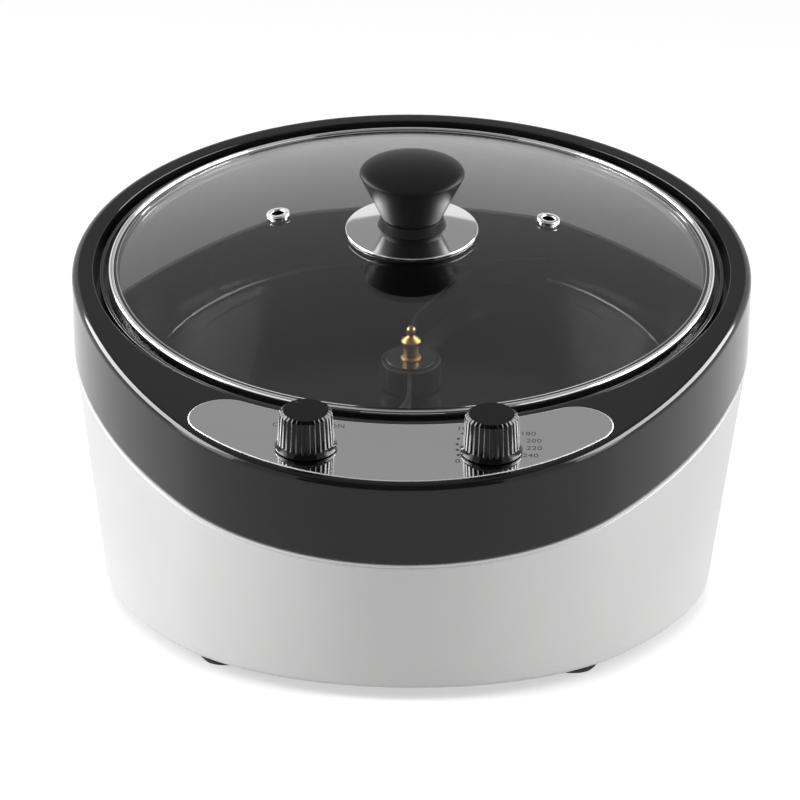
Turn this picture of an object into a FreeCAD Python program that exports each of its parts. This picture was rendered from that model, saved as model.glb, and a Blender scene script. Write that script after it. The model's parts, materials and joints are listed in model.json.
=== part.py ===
import FreeCAD, Part
import math
import os

# Home coffee bean roaster: an egg-shaped housing carries a sloping deck. A stirred pan with a
# glass lid sits in the deck, and a crescent panel with two knobs lies in front of it.
# Millimetres and degrees, +Z up, front towards -Y.
# Most pieces are modelled on the deck: x to the right, y up the slope, z square to the slope,
# with the origin on the lid's axis at the level of the lid's rim. on_deck() tilts them into place.

# ---- Driving dimensions -------------------------------------------------------------------

# Deck and its egg-shaped outline, worked out from the lid that it surrounds
deck_tilt = 15.0
lid_radius = 130.0
lid_level = 142.3           # height of the lid's rim above the table, at the lid's centre
groove_width = 6.4          # between the lid's rim and the opening in the deck
deck_margin = 9.2           # the deck's width behind the opening
apron = 51.9                # the deck's length in front of the opening
side_radius = 272.0
front_radius = 113.5
deck_face = 1.0             # the deck's top, above the level of the lid's rim
deck_thickness = 3.0
band_depth = 36.1           # height of the black side band
band_wall = 3.0
deck_edge_round = 3.2
band_edge_round = 0.8
skirt_wall = 2.5

# Lower housing
housing_wall = 2.8
housing_draft = 8.2
base_level = 5.0            # height of the housing's lower edge above the table
base_edge_round = 2.5
seam_gap = 0.4
tongue_wall = 1.6
tongue_height = 4.0
tongue_root = 3.0
fit_gap = 0.3

# Joining screws between housing and bezel
post_x = 80.0
post_setback = 53.3         # behind the deck's foremost point
post_radius = 4.5
lug_radius = 8.0
lug_thickness = 4.0
screw_radius = 1.5
screw_clearance = 0.25
screw_head_radius = 3.2
screw_head_height = 2.2

# Control panel
panel_margin = 2.8          # from the opening in the deck
panel_inset = 4.2           # from the deck's outer edge
panel_end_radius = 15.0
panel_sheet = 0.8
panel_proud = 0.2
panel_fit = 0.15

# Controls
knob_x = 37.0
knob_shift = 2.65           # behind the middle of the panel's depth
knob_gap = 0.4
knob_height = 16.6
knob_top_radius = 9.1
knob_shoulder_radius = 10.6
knob_foot_radius = 11.4
knob_skirt_radius = 12.5
knob_skirt_height = 2.6
knob_chamfer_height = 1.1
knob_cavity_radius = 8.6
knob_cavity_depth = 4.0
flute_count = 30
flute_radius = 0.7
flute_depth = 0.45
notch_width = 1.1
notch_length = 3.2
notch_depth = 0.6
off_angle = 33.0            # the stir knob's notch, turned left of the deck's centre line
spindle_radius = 3.0
spindle_flat = 0.7
spindle_reach = 13.5
running_gap = 0.05
bush_radius = 4.5
bush_reach = 3.6
bush_clearance = 0.2
nut_flats = 13.0
nut_height = 2.0
switch_width = 26.0
switch_depth = 20.0
thermostat_width = 30.0
thermostat_depth = 24.0
control_length = 24.0
body_edge_round = 3.0

# Pan
pan_flange_top = -5.6
pan_flange_thickness = 1.6
pan_flange_width = 8.2      # from the pan's mouth to its lip
pan_flare = 8.3             # the mouth's radius over the floor's
pan_step_width = 10.7
pan_floor_level = -60.0
pan_step = 0.8
pan_floor_thickness = 3.0
pan_wall = 2.6
pan_corner_round = 2.0
lip_gap = 2.2               # between the lid's rim and the lip
lip_wall = 1.6
lip_top = -1.2
sleeve_radius = 9.4
sleeve_bore_radius = 6.2
sleeve_top = -51.5
pan_boss_radius = 6.0
pan_boss_height = 4.0
ledge_gap = 1.0             # between the pan's wall and the ledge
ledge_thickness = 2.5

# Heat below the pan
element_setback = 18.0      # inside the circle of the bracket's pillars
element_tube_radius = 4.0
element_gap_angle = 36.0
element_leg = 16.0
clip_width = 9.0
clip_length = 15.0
clip_web = 1.6
bulb_radius = 3.0
bulb_length = 56.0
bulb_setback = 26.0         # inside the element's circle
reflector_sheet = 1.0
reflector_floor_level = -77.0
reflector_gap = 1.7         # outside the pan's floor
reflector_mouth_gap = 1.6   # outside the ledge's bore
reflector_flange_gap = 0.8  # inside the skirt
reflector_bore_radius = 16.0
reflector_corner_round = 6.0
fuse_radius = 4.0
fuse_length = 18.0
fuse_x = -58.0
capillary_radius = 0.9
capillary_run = 12.0        # straight run out of the bulb
capillary_drop = 4.5        # below the reflector's floor
capillary_step = 9.0
capillary_rise = 16.0
capillary_bends = (5.0, 5.0, 10.0, 10.0)

# Drive
pillar_setback = 19.7       # inside the pan's floor
pillar_radius = 4.0
pillar_count = 3
bracket_level = -86.0       # top of the bracket plate
bracket_thickness = 2.0
bracket_hub_radius = 36.0
bracket_arm_width = 18.0
gearbox_radius = 31.0
gearbox_height = 20.0
motor_radius = 27.0
motor_height = 17.0
motor_edge_round = 2.0
drive_radius = 4.0
drive_joint_level = -75.0
coupler_radius = 8.0
coupler_top = -66.5
drive_bush_flange_radius = 9.0
drive_bush_flange = 1.2

# Stirrer
stirrer_floor_gap = 0.8
hub_radius = 13.0
hub_top = -47.8
hub_wall = 2.4
hub_drive_flat = 1.0
hub_washer_radius = 10.6
hub_washer_thickness = 0.9
arm_top = -47.0
arm_thickness = 1.6
arm_tip_gap = 4.8           # between the arms' tips and the pan's wall
arm_shares = ((0.0, 0.108), (0.0, 0.343), (0.194, 0.717), (0.325, 0.834), (0.523, 0.852))
arm_bends = (30.0, 26.0, 18.0)
half_turn = 180.0
thread_radius = 2.5
nut_skirt_radius = 4.4
nut_body_radius = 3.2
nut_ball_radius = 2.1
nut_neck_radius = 1.3
nut_brim_height = 1.0
nut_collar_height = 7.6
nut_tall = 15.4

# Lid
glass_seat = 1.6            # between the glass's edge and the rim's outside
glass_apex = 17.4
glass_rim_level = -0.1
glass_thickness = 3.6
rim_wall = 1.1
rim_top = 1.35
rim_top_width = 4.0
rim_foot_width = 3.4
rim_edge_round = 2.0
rim_lip_round = 0.5
gasket_thickness = 1.0
gasket_width = 3.2
gasket_inset = 0.4          # from the rim's outside
vent_x = 58.3
vent_y = 18.0
vent_bore_radius = 2.7
vent_barrel_radius = 3.9
vent_flange_radius = 5.1
vent_flange = 0.8
seat_washer_radius = 10.0
seat_washer_thickness = 1.0
dish_radius = 28.4
dish_sheet = 0.9
dish_flat_radius = 13.0
dish_gap = 0.1              # between the dish's rim and the glass
dish_bulge = 0.2            # of the drooping part, over a straight cone
collar_height = 4.2
collar_foot_radius = 14.8
collar_waist_radius = 13.3
collar_gap = 0.25
grip_foot_radius = 13.0
grip_top_radius = 22.4
grip_height = 20.0
grip_crown = 5.6
grip_neck = 1.8             # how far the neck lies inside the grip's foot
grip_edge_round = 0.6
knob_screw_radius = 2.5
knob_screw_reach = 16.0
knob_screw_head_radius = 7.0
knob_screw_head_height = 2.4

# Underside
cover_thickness = 2.4
cover_recess = 0.6
cover_ledge_width = 4.0
cover_post_radius = 5.0
cover_post_height = 18.0
cover_post_shares = ((0.75, 0.275), (0.66, -0.55))     # of the foot's back radius
rib_thickness = 2.4
foot_radius = 10.0
foot_share = 0.547          # of the foot's back radius, to each side
foot_setback = 49.9         # behind the housing's foremost point at its foot
rear_foot_share = 0.61      # of the foot's back radius, behind its centre
foot_edge_round = 1.5
foot_recess_radius = 5.0
foot_recess_depth = 3.0
slot_width = 4.0
slot_length = 52.0
slot_pitch = 9.0
slot_count = 9
slot_centre_y = -10.0
gland_height = 24.0
gland_radius = 6.0
gland_flange_radius = 8.5
gland_flange = 2.5
gland_bore_radius = 3.4
gland_inner_reach = 9.0
terminal_length = 42.0
terminal_width = 16.0
terminal_height = 14.0
terminal_setback = 52.0     # inside the housing's back at its foot
terminal_cells = 4

# ---- Sizes that follow --------------------------------------------------------------------

tilt = math.radians(deck_tilt)
draft = math.tan(math.radians(housing_draft))
opening_radius = lid_radius + groove_width
back_radius = opening_radius + deck_margin
front_reach = opening_radius + apron        # from the lid's axis to the foremost point
post_y = post_setback - front_reach
panel_inner_radius = opening_radius + panel_margin
knob_y = knob_shift - (panel_inner_radius + front_reach - panel_inset) / 2
lip_inner_radius = lid_radius + lip_gap
pan_mouth_radius = lip_inner_radius - pan_flange_width
pan_floor_radius = pan_mouth_radius - pan_flare
pan_step_radius = pan_floor_radius - pan_step_width
ledge_bore_radius = pan_mouth_radius + pan_wall + ledge_gap
pillar_pitch_radius = pan_floor_radius - pillar_setback
element_radius = pillar_pitch_radius - element_setback
bulb_y = bulb_setback - element_radius
reflector_floor_radius = pan_floor_radius + pan_wall + reflector_gap
reflector_mouth_radius = ledge_bore_radius + reflector_mouth_gap
reflector_flange_radius = opening_radius - reflector_flange_gap
arm_reach = pan_floor_radius - arm_tip_gap
arm_points = [(arm_reach * x, arm_reach * y) for x, y in arm_shares]
glass_edge_radius = lid_radius - glass_seat
rim_top_lip_radius = lid_radius - rim_top_width
rim_foot_lip_radius = lid_radius - rim_foot_width
gasket_outer_radius = lid_radius - gasket_inset
gasket_inner_radius = gasket_outer_radius - gasket_width
seam_level = deck_face - band_depth
deck_under = deck_face - deck_thickness
housing_top = seam_level - seam_gap
ledge_top = pan_flange_top - pan_flange_thickness
ledge_under = ledge_top - ledge_thickness
pan_under = pan_floor_level - pan_floor_thickness - pan_step
boss_under = pan_under - pan_boss_height
panel_top = deck_face + panel_proud
panel_under = panel_top - panel_sheet
knob_foot = panel_top + knob_gap
knob_top = knob_foot + knob_height
bush_top = panel_top + bush_reach
spindle_top = panel_top + spindle_reach
bracket_under = bracket_level - bracket_thickness
gearbox_under = bracket_under - gearbox_height
stirrer_under = pan_floor_level + stirrer_floor_gap
washer_top = hub_top + hub_washer_thickness
glass_sag = glass_apex - glass_rim_level
glass_radius = (glass_edge_radius ** 2 + glass_sag ** 2) / (2 * glass_sag)
rim_foot = pan_flange_top + gasket_thickness
dish_under = glass_apex + seat_washer_thickness
collar_foot = dish_under + dish_sheet
collar_top = collar_foot + collar_height
grip_foot = collar_top + collar_gap
cover_under = base_level + cover_recess
cover_top = cover_under + cover_thickness
reach_past = 1.0            # how far a cutting tool runs past the faces that it opens

# The deck's rounded front edge is the foremost point, and the housing's rear rim the rearmost one.
# The origin is midway between them, so the lid's centre lies a little behind it.
foremost = (front_reach - deck_edge_round) * math.cos(tilt) + deck_edge_round
foremost += (deck_face - deck_edge_round) * math.sin(tilt)
rearmost = back_radius * math.cos(tilt) - housing_top * math.sin(tilt)
lid_centre_y = (foremost - rearmost) / 2


def vector(x, y, z=0.0):
    return FreeCAD.Vector(x, y, z)


deck_place = FreeCAD.Placement(
    vector(0, lid_centre_y, lid_level), FreeCAD.Rotation(vector(1, 0, 0), deck_tilt))


def unit(direction):
    return FreeCAD.Vector(direction).normalize()


def mirrored(point):
    return vector(-point.x, point.y, point.z)


def on_deck(shape):
    placed = shape.copy()
    placed.Placement = deck_place.multiply(placed.Placement)
    return placed


def deck_point(x, y, z):
    return deck_place.multVec(vector(x, y, z))


# ---- Shape helpers ------------------------------------------------------------------------

def disc(radius, low, high, x=0.0, y=0.0):
    return Part.makeCylinder(radius, high - low, vector(x, y, low))


def ring(outer, inner, low, high):
    return disc(outer, low, high).cut(disc(inner, low - reach_past, high + reach_past))


def block(width, length, low, high, x=0.0, y=0.0):
    corner = vector(x - width / 2, y - length / 2, low)
    return Part.makeBox(width, length, high - low, corner)


def turned(profile):
    """Solid of revolution about z from a closed outline of (radius, height) points."""
    points = [vector(r, 0, z) for r, z in profile]
    points.append(points[0])
    face = Part.Face(Part.makePolygon(points))
    return face.revolve(vector(0, 0, 0), vector(0, 0, 1), 360)


def circle_edges(shape, radius, level):
    """Round edges of a turned shape, found by their radius and height."""
    found = []
    for edge in shape.Edges:
        if edge.Degenerated:
            continue
        curve = edge.Curve
        if not isinstance(curve, Part.Circle):
            continue
        if abs(curve.Radius - radius) < 0.01 and abs(curve.Center.z - level) < 0.01:
            found.append(edge)
    return found


def rounded(shape, places, radius):
    edges = []
    for circle_radius, level in places:
        edges += circle_edges(shape, circle_radius, level)
    return shape.makeFillet(radius, edges)


def level_edges(shape, level):
    """Edges that lie in the flat at one height, on the outside of the shape."""
    return [e for e in shape.Edges
            if abs(e.BoundBox.ZMin - level) < 0.01 and abs(e.BoundBox.ZMax - level) < 0.01]


def upright_edges(shape):
    return [e for e in shape.Edges if e.BoundBox.XLength + e.BoundBox.YLength < 0.01]


def prism(wire, height):
    return Part.Face(wire).extrude(vector(0, 0, height))


def bent_path(points, bends):
    """Straight runs joined by tangent arcs, as a list of edges."""
    edges = []
    start = points[0]
    for before, corner, after, bend in zip(points, points[1:], points[2:], bends):
        back = unit(before - corner)
        ahead = unit(after - corner)
        half = back.getAngle(ahead) / 2
        bisector = unit(back + ahead)
        entry = corner + back * (bend / math.tan(half))
        leave = corner + ahead * (bend / math.tan(half))
        middle = corner + bisector * (bend / math.sin(half) - bend)
        edges.append(Part.LineSegment(start, entry).toShape())
        edges.append(Part.Arc(entry, middle, leave).toShape())
        start = leave
    edges.append(Part.LineSegment(start, points[-1]).toShape())
    return edges


def bent_rod(points, bends, radius):
    path = Part.Wire(bent_path(points, bends))
    section = Part.Wire(Part.Circle(points[0], unit(points[1] - points[0]), radius).toShape())
    return path.makePipeShell([section], True, False)


def turned_about_axis(shape, angle):
    copy = shape.copy()
    copy.rotate(vector(0, 0, 0), vector(0, 0, 1), angle)
    return copy


def both_sides(shape):
    """The shape and its mirror image across the middle plane."""
    return [shape, shape.mirror(vector(0, 0, 0), vector(1, 0, 0))]


def d_section(radius, flat, low, high):
    """Round bar with one flat along its +y side."""
    cutter = block(2 * radius, radius, low - reach_past, high + reach_past, 0, radius - flat + radius / 2)
    return disc(radius, low, high).cut(cutter)


def hexagon(flats, low, high):
    corner = flats / math.sqrt(3)
    points = [vector(corner * math.cos(math.radians(60 * i)), corner * math.sin(math.radians(60 * i)), low)
              for i in range(7)]
    return prism(Part.makePolygon(points), high - low)


def pan_head_screw(length):
    """Screw pointing up, its head's seat at z = 0."""
    head = disc(screw_head_radius, -screw_head_height, 0)
    head = rounded(head, [(screw_head_radius, -screw_head_height)], screw_head_height / 2)
    return head.fuse(disc(screw_radius, 0, length)).removeSplitter()


# ---- Egg outlines -------------------------------------------------------------------------

def egg_wire(outline, inset, level):
    """Egg of four tangent arcs about the origin, its narrow end towards -y."""
    back_r, side_r, front_r, reach = outline
    front_centre = vector(0, front_r - reach)
    gap = reach - front_r
    drop = (gap ** 2 + (side_r - back_r) ** 2 - (side_r - front_r) ** 2) / (2 * gap)
    side_centre = vector(-math.sqrt((side_r - back_r) ** 2 - drop ** 2), -drop)
    to_back = unit(side_centre * -1)
    to_front = unit(front_centre - side_centre)
    back_joint = to_back * (back_r - inset)
    front_joint = front_centre + to_front * (front_r - inset)
    flank = side_centre + unit(to_back + to_front) * (side_r - inset)
    back_point = vector(0, back_r - inset)
    front_point = vector(0, inset - reach)
    arcs = [Part.Arc(mirrored(back_joint), back_point, back_joint),
            Part.Arc(back_joint, flank, front_joint),
            Part.Arc(front_joint, front_point, mirrored(front_joint)),
            Part.Arc(mirrored(front_joint), mirrored(flank), mirrored(back_joint))]
    wire = Part.Wire([arc.toShape() for arc in arcs])
    wire.translate(vector(0, 0, level))
    return wire


def egg_block(outline, inset, low, high):
    return prism(egg_wire(outline, inset, low), high - low)


deck_outline = (back_radius, side_radius, front_radius, front_reach)

# The housing's foot is the seam's outline, drawn in by the draft over each side's own height.
seam_back = deck_point(0, back_radius, seam_level)
seam_front = deck_point(0, -front_reach, seam_level)
seam_side = deck_point(back_radius, 0, seam_level)
back_draw = (seam_back.z - base_level) * draft
front_draw = (seam_front.z - base_level) * draft
side_draw = (seam_side.z - base_level) * draft
base_back_radius = back_radius - side_draw
base_centre_y = seam_back.y - back_draw - base_back_radius
base_reach = base_centre_y - seam_front.y - front_draw
base_front_radius = front_radius / math.cos(tilt) - front_draw
base_side_radius = side_radius - (side_draw + front_draw) / 2
base_outline = (base_back_radius, base_side_radius, base_front_radius, base_reach)


def base_egg(inset, level):
    wire = egg_wire(base_outline, inset, level)
    wire.translate(vector(0, base_centre_y, 0))
    return wire


def housing_block(inset, low=base_level):
    """The housing's full body between its foot and the sloping seam, drawn in by an inset."""
    foot = base_egg(inset, low)
    seam = on_deck(egg_wire(deck_outline, inset, housing_top))
    return Part.makeLoft([foot, seam], True, True)


# ---- Housing and bezel --------------------------------------------------------------------

def lower_housing():
    outer = housing_block(0)
    bottom_edges = level_edges(outer, base_level)
    shell = outer.makeFillet(base_edge_round, bottom_edges)
    shell = shell.cut(housing_block(housing_wall, base_level - reach_past))
    inside = [tongue()]
    inside += [lug.common(outer) for lug in both_sides(joining_lug())]
    inside += cover_posts(outer)
    inside.append(cover_ledge(outer))
    shell = shell.multiFuse(inside)
    for x in (-post_x, post_x):
        shell = shell.cut(on_deck(disc(screw_radius + screw_clearance, housing_top - 2 * lug_thickness,
                                       housing_top + reach_past, x, post_y)))
    return shell.cut(gland_hole()).removeSplitter()


def tongue():
    """Inner rim that the bezel's band slips over."""
    outer_inset = band_wall + fit_gap
    rim = egg_block(deck_outline, outer_inset, housing_top - tongue_root, seam_level + tongue_height)
    root = egg_block(deck_outline, housing_wall - fit_gap, housing_top - tongue_root, housing_top)
    hollow = egg_block(deck_outline, outer_inset + tongue_wall,
                       housing_top - tongue_root - reach_past, seam_level + tongue_height + reach_past)
    return on_deck(rim.fuse(root).cut(hollow))


def joining_lug():
    """Ear below the bezel's post, reaching out to the housing's wall."""
    low = housing_top - lug_thickness
    ear = disc(lug_radius, low, housing_top, post_x, post_y)
    arm = block(2 * lug_radius, 2 * lug_radius, low, housing_top, post_x + lug_radius, post_y - lug_radius)
    return on_deck(ear.fuse(arm))


def cover_post_points():
    places = []
    for across, along in cover_post_shares:
        x = across * base_back_radius
        y = along * base_back_radius + base_centre_y
        places += [(x, y), (-x, y)]
    return places


def cover_posts(outer):
    """Screw posts for the bottom cover, each tied to the wall by a rib."""
    posts = []
    for x, y in cover_post_points():
        high = cover_top + cover_post_height
        post = disc(cover_post_radius, cover_top, high, x, y)
        rib_length = back_radius - abs(x)
        middle = math.copysign(abs(x) + rib_length / 2, x)
        rib = block(rib_length, rib_thickness, cover_top, high, middle, y)
        pilot = disc(screw_radius, cover_top - reach_past, high - rib_thickness, x, y)
        posts.append(post.fuse(rib.common(outer)).cut(pilot))
    return posts


def cover_ledge(outer):
    """Step all round the inside that the bottom cover seats against."""
    frame = prism(base_egg(0, cover_top), cover_thickness)
    hollow = prism(base_egg(housing_wall + cover_ledge_width, cover_top - reach_past),
                   cover_thickness + 2 * reach_past)
    return frame.cut(hollow).common(outer)


def gland_place():
    """The rear wall's outer face at the gland's height, square to the drafted wall."""
    rise = gland_height - base_level
    y = base_centre_y + base_back_radius + rise * draft
    turn = FreeCAD.Rotation(vector(0, 0, 1), vector(0, 1, -draft))
    return FreeCAD.Placement(vector(0, y, gland_height), turn)


def gland_hole():
    hole = disc(gland_radius + screw_clearance, -3 * housing_wall, 2 * housing_wall)
    hole.Placement = gland_place()
    return hole


def cord_gland():
    """Bush for the supply cord in the rear wall."""
    profile = [(gland_bore_radius, -gland_inner_reach), (gland_radius, -gland_inner_reach),
               (gland_radius, 0.1), (gland_flange_radius, 0.1), (gland_flange_radius, gland_flange),
               (gland_bore_radius, gland_flange)]
    gland = rounded(turned(profile), [(gland_flange_radius, gland_flange)], gland_flange / 3)
    gland.Placement = gland_place()
    return gland


def top_bezel():
    bezel = egg_block(deck_outline, 0, seam_level, deck_face)
    bezel = bezel.makeFillet(deck_edge_round, level_edges(bezel, deck_face))
    bezel = bezel.makeFillet(band_edge_round, level_edges(bezel, seam_level))
    bezel = bezel.cut(egg_block(deck_outline, band_wall, seam_level - reach_past, deck_under))
    bezel = bezel.cut(disc(opening_radius, deck_under - reach_past, deck_face + reach_past))
    skirt = ring(opening_radius + skirt_wall, opening_radius, ledge_under, deck_under + fit_gap)
    ledge = ring(opening_radius + fit_gap, ledge_bore_radius, ledge_under, ledge_top)
    bezel = bezel.multiFuse([skirt, ledge] + [bezel_post(x) for x in (-post_x, post_x)])
    bezel = bezel.cut(panel_blank(-panel_fit, panel_under, deck_face + reach_past))
    for x in (-knob_x, knob_x):
        bezel = bezel.cut(disc(bush_radius + bush_clearance, deck_under - reach_past,
                               deck_face, x, knob_y))
    return on_deck(bezel.removeSplitter())


def bezel_post(x):
    """Post that the joining screw bites into from below."""
    post = disc(post_radius, housing_top, deck_under + fit_gap, x, post_y)
    return post.cut(disc(screw_radius - screw_clearance, housing_top - reach_past,
                         deck_under - deck_thickness, x, post_y))


def joining_screws():
    screw = pan_head_screw(lug_thickness + 3 * lug_thickness)
    screw = screw.cut(disc(screw_radius + reach_past, lug_thickness, 5 * lug_thickness).cut(
        disc(screw_radius - screw_clearance, lug_thickness, 5 * lug_thickness)))
    screw.translate(vector(post_x, post_y, housing_top - lug_thickness))
    return on_deck(Part.makeCompound(both_sides(screw)))


# ---- Control panel ------------------------------------------------------------------------

def panel_blank(inset, low, high):
    """Crescent between the pan's opening and the deck's front edge, with round ends."""
    inner = panel_inner_radius + inset
    outer = front_radius - panel_inset - inset
    end = panel_end_radius - inset
    centre_gap = front_reach - front_radius
    end_y = ((inner + end) ** 2 - (outer - end) ** 2 + centre_gap ** 2) / (2 * centre_gap)
    end_centre = vector(math.sqrt((inner + end) ** 2 - end_y ** 2), -end_y)
    front_centre = vector(0, -centre_gap)
    inner_joint = unit(end_centre) * inner
    outward = unit(end_centre - front_centre)
    outer_joint = front_centre + outward * outer
    end_tip = end_centre + unit(unit(end_centre) * -1 + outward) * end
    side = end_centre + vector(end, 0)
    if (end_tip - side).Length > end:
        end_tip = side
    arcs = [Part.Arc(mirrored(inner_joint), vector(0, -inner), inner_joint),
            Part.Arc(inner_joint, end_tip, outer_joint),
            Part.Arc(outer_joint, front_centre - vector(0, outer), mirrored(outer_joint)),
            Part.Arc(mirrored(outer_joint), mirrored(end_tip), mirrored(inner_joint))]
    wire = Part.Wire([arc.toShape() for arc in arcs])
    wire.translate(vector(0, 0, low))
    return prism(wire, high - low)


def control_panel():
    panel = panel_blank(0, panel_under, panel_top)
    for x in (-knob_x, knob_x):
        panel = panel.cut(disc(bush_radius + bush_clearance, panel_under - reach_past,
                               panel_top + reach_past, x, knob_y))
    return on_deck(panel)


def at_knob(shape, x, angle=0.0):
    placed = turned_about_axis(shape, angle)
    placed.translate(vector(x, knob_y, 0))
    return on_deck(placed)


def control_housing(width, depth):
    """Switch or thermostat body under the deck, with its threaded bush through the panel."""
    case = block(width, control_length, deck_under - depth, deck_under)
    case = case.makeFillet(body_edge_round, upright_edges(case))
    bush = disc(bush_radius, deck_under - fit_gap, bush_top)
    bore = disc(spindle_radius + running_gap, deck_under - depth / 2, bush_top + reach_past)
    return case.fuse(bush).cut(bore).removeSplitter()


def switch_body():
    return at_knob(control_housing(switch_width, switch_depth), -knob_x)


def thermostat_body():
    return at_knob(control_housing(thermostat_width, thermostat_depth), knob_x)


def panel_nuts():
    nut = hexagon(nut_flats, panel_top, panel_top + nut_height)
    nut = nut.cut(disc(bush_radius + running_gap, panel_top - reach_past,
                       panel_top + nut_height + reach_past))
    return Part.makeCompound([at_knob(nut, -knob_x), at_knob(nut, knob_x)])


def control_spindle(depth):
    """Round in its bush and flatted where the knob grips it."""
    low = deck_under - depth / 2 + running_gap
    shank = disc(spindle_radius, low, bush_top)
    return shank.fuse(d_section(spindle_radius, spindle_flat, bush_top, spindle_top)).removeSplitter()


def fluted_knob():
    """Moulded knob: flared skirt, fluted tapering grip, chamfered top with a pointer notch."""
    grip_low = knob_foot + knob_skirt_height
    shoulder = knob_top - knob_chamfer_height
    profile = [(0, knob_foot), (knob_skirt_radius - fit_gap, knob_foot),
               (knob_skirt_radius, knob_foot + knob_skirt_height / 3), (knob_foot_radius, grip_low),
               (knob_shoulder_radius, shoulder), (knob_top_radius, knob_top), (0, knob_top)]
    knob = turned(profile)
    start = vector(knob_foot_radius + flute_radius - flute_depth, 0, grip_low + fit_gap)
    finish = vector(knob_shoulder_radius + flute_radius - flute_depth, 0, knob_top + fit_gap)
    flute = Part.makeCylinder(flute_radius, (finish - start).Length, start, finish - start)
    flutes = [turned_about_axis(flute, 360.0 * i / flute_count) for i in range(flute_count)]
    knob = knob.cut(Part.makeCompound(flutes))
    cavity = disc(knob_cavity_radius, knob_foot - reach_past, knob_foot + knob_cavity_depth)
    bore = d_section(spindle_radius + running_gap, spindle_flat, knob_foot, spindle_top + running_gap)
    notch = block(notch_width, notch_length, knob_top - notch_depth, knob_top + reach_past,
                  0, knob_top_radius - notch_length / 2 + notch_depth)
    return knob.cut(cavity).cut(bore).cut(notch)


# ---- Pan and heat -------------------------------------------------------------------------

def roasting_pan():
    """Cast pan with a sleeve round the drive, a seating flange and an upstanding lip."""
    lip_outer = lip_inner_radius + lip_wall
    profile = [(sleeve_bore_radius, pan_under), (sleeve_bore_radius, sleeve_top),
               (sleeve_radius, sleeve_top), (sleeve_radius, pan_floor_level),
               (pan_step_radius, pan_floor_level), (pan_step_radius, pan_floor_level - pan_step),
               (pan_floor_radius, pan_floor_level - pan_step), (pan_mouth_radius, pan_flange_top),
               (lip_inner_radius, pan_flange_top), (lip_inner_radius, lip_top), (lip_outer, lip_top),
               (lip_outer, ledge_top), (pan_mouth_radius + pan_wall, ledge_top),
               (pan_floor_radius + pan_wall, pan_floor_level), (pan_floor_radius - pan_wall, pan_under)]
    pan = turned(profile)
    pan = rounded(pan, [(pan_floor_radius, pan_floor_level - pan_step)], pan_corner_round)
    pan = rounded(pan, [(pan_mouth_radius, pan_flange_top)], pan_corner_round / 2)
    bosses = []
    for x, y in pillar_places():
        bosses.append(disc(pan_boss_radius, boss_under, pan_under + fit_gap, x, y))
    return on_deck(pan.multiFuse(bosses))


def pillar_places():
    places = []
    for i in range(pillar_count):
        angle = math.radians(-90 + 360 * i / pillar_count)
        places.append((pillar_pitch_radius * math.cos(angle), pillar_pitch_radius * math.sin(angle)))
    return places


def element_level():
    return pan_under - fit_gap - element_tube_radius


def element_leg_places():
    half = math.radians(element_gap_angle / 2)
    x = element_radius * math.sin(half)
    y = element_radius * math.cos(half)
    return [(-x, y), (x, y)]


def heating_element():
    """Sheathed tube bent into an open ring, its two ends turned down for the wiring."""
    level = element_level()
    section = Part.Face(Part.Wire(Part.Circle(
        vector(element_radius, 0, level), vector(0, 1, 0), element_tube_radius).toShape()))
    sweep = section.revolve(vector(0, 0, 0), vector(0, 0, 1), 360 - element_gap_angle)
    element = turned_about_axis(sweep, 90 + element_gap_angle / 2)
    for x, y in element_leg_places():
        bend = Part.makeSphere(element_tube_radius, vector(x, y, level))
        element = element.fuse(bend).fuse(disc(element_tube_radius, level - element_leg, level, x, y))
    return on_deck(element.removeSplitter())


def element_clips():
    """Saddles that hold the element up against the pan, between the drive pillars."""
    level = element_level()
    low = level - element_tube_radius - clip_web
    saddle = block(clip_length, clip_width, low, pan_under, element_radius, 0)
    channel = Part.makeTorus(element_radius, element_tube_radius + running_gap, vector(0, 0, level))
    mouth = ring(element_radius + element_tube_radius + running_gap,
                 element_radius - element_tube_radius - running_gap, level, pan_under + reach_past)
    saddle = saddle.cut(channel).cut(mouth)
    clips = [turned_about_axis(saddle, -30 + 360.0 * i / pillar_count) for i in range(pillar_count)]
    return on_deck(Part.makeCompound(clips))


def bulb_level():
    return pan_under - fit_gap - bulb_radius


def thermostat_bulb():
    bulb = Part.makeCylinder(bulb_radius, bulb_length, vector(-bulb_length / 2, bulb_y, bulb_level()),
                             vector(1, 0, 0))
    return on_deck(bulb)


def bulb_clip():
    """Saddle that presses the bulb against the pan."""
    low = bulb_level() - bulb_radius - clip_web
    saddle = block(clip_width, clip_length, low, pan_under, 0, bulb_y)
    channel = Part.makeCylinder(bulb_radius + running_gap, 2 * clip_width,
                                vector(-clip_width, bulb_y, bulb_level()), vector(1, 0, 0))
    mouth = block(2 * clip_width, 2 * (bulb_radius + running_gap), bulb_level(), pan_under + reach_past,
                  0, bulb_y)
    return on_deck(saddle.cut(channel).cut(mouth))


def heat_reflector():
    """Bright bowl round the pan that keeps the heat off the housing."""
    sheet = reflector_sheet
    top = ledge_under
    low = reflector_floor_level
    profile = [(reflector_bore_radius, low), (reflector_floor_radius, low),
               (reflector_mouth_radius, top - sheet), (reflector_flange_radius, top - sheet),
               (reflector_flange_radius, top), (reflector_mouth_radius - sheet, top),
               (reflector_floor_radius - sheet, low + sheet), (reflector_bore_radius, low + sheet)]
    bowl = turned(profile)
    bowl = rounded(bowl, [(reflector_floor_radius, low)], reflector_corner_round)
    bowl = rounded(bowl, [(reflector_floor_radius - sheet, low + sheet)], reflector_corner_round - sheet)
    holes = [(x, y, pillar_radius) for x, y in pillar_places()]
    holes += [(x, y, element_tube_radius + reach_past) for x, y in element_leg_places()]
    holes.append(capillary_hole())
    for x, y, radius in holes:
        bowl = bowl.cut(disc(radius + fit_gap, low - reach_past, low + sheet + reach_past, x, y))
    return on_deck(bowl)


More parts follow.
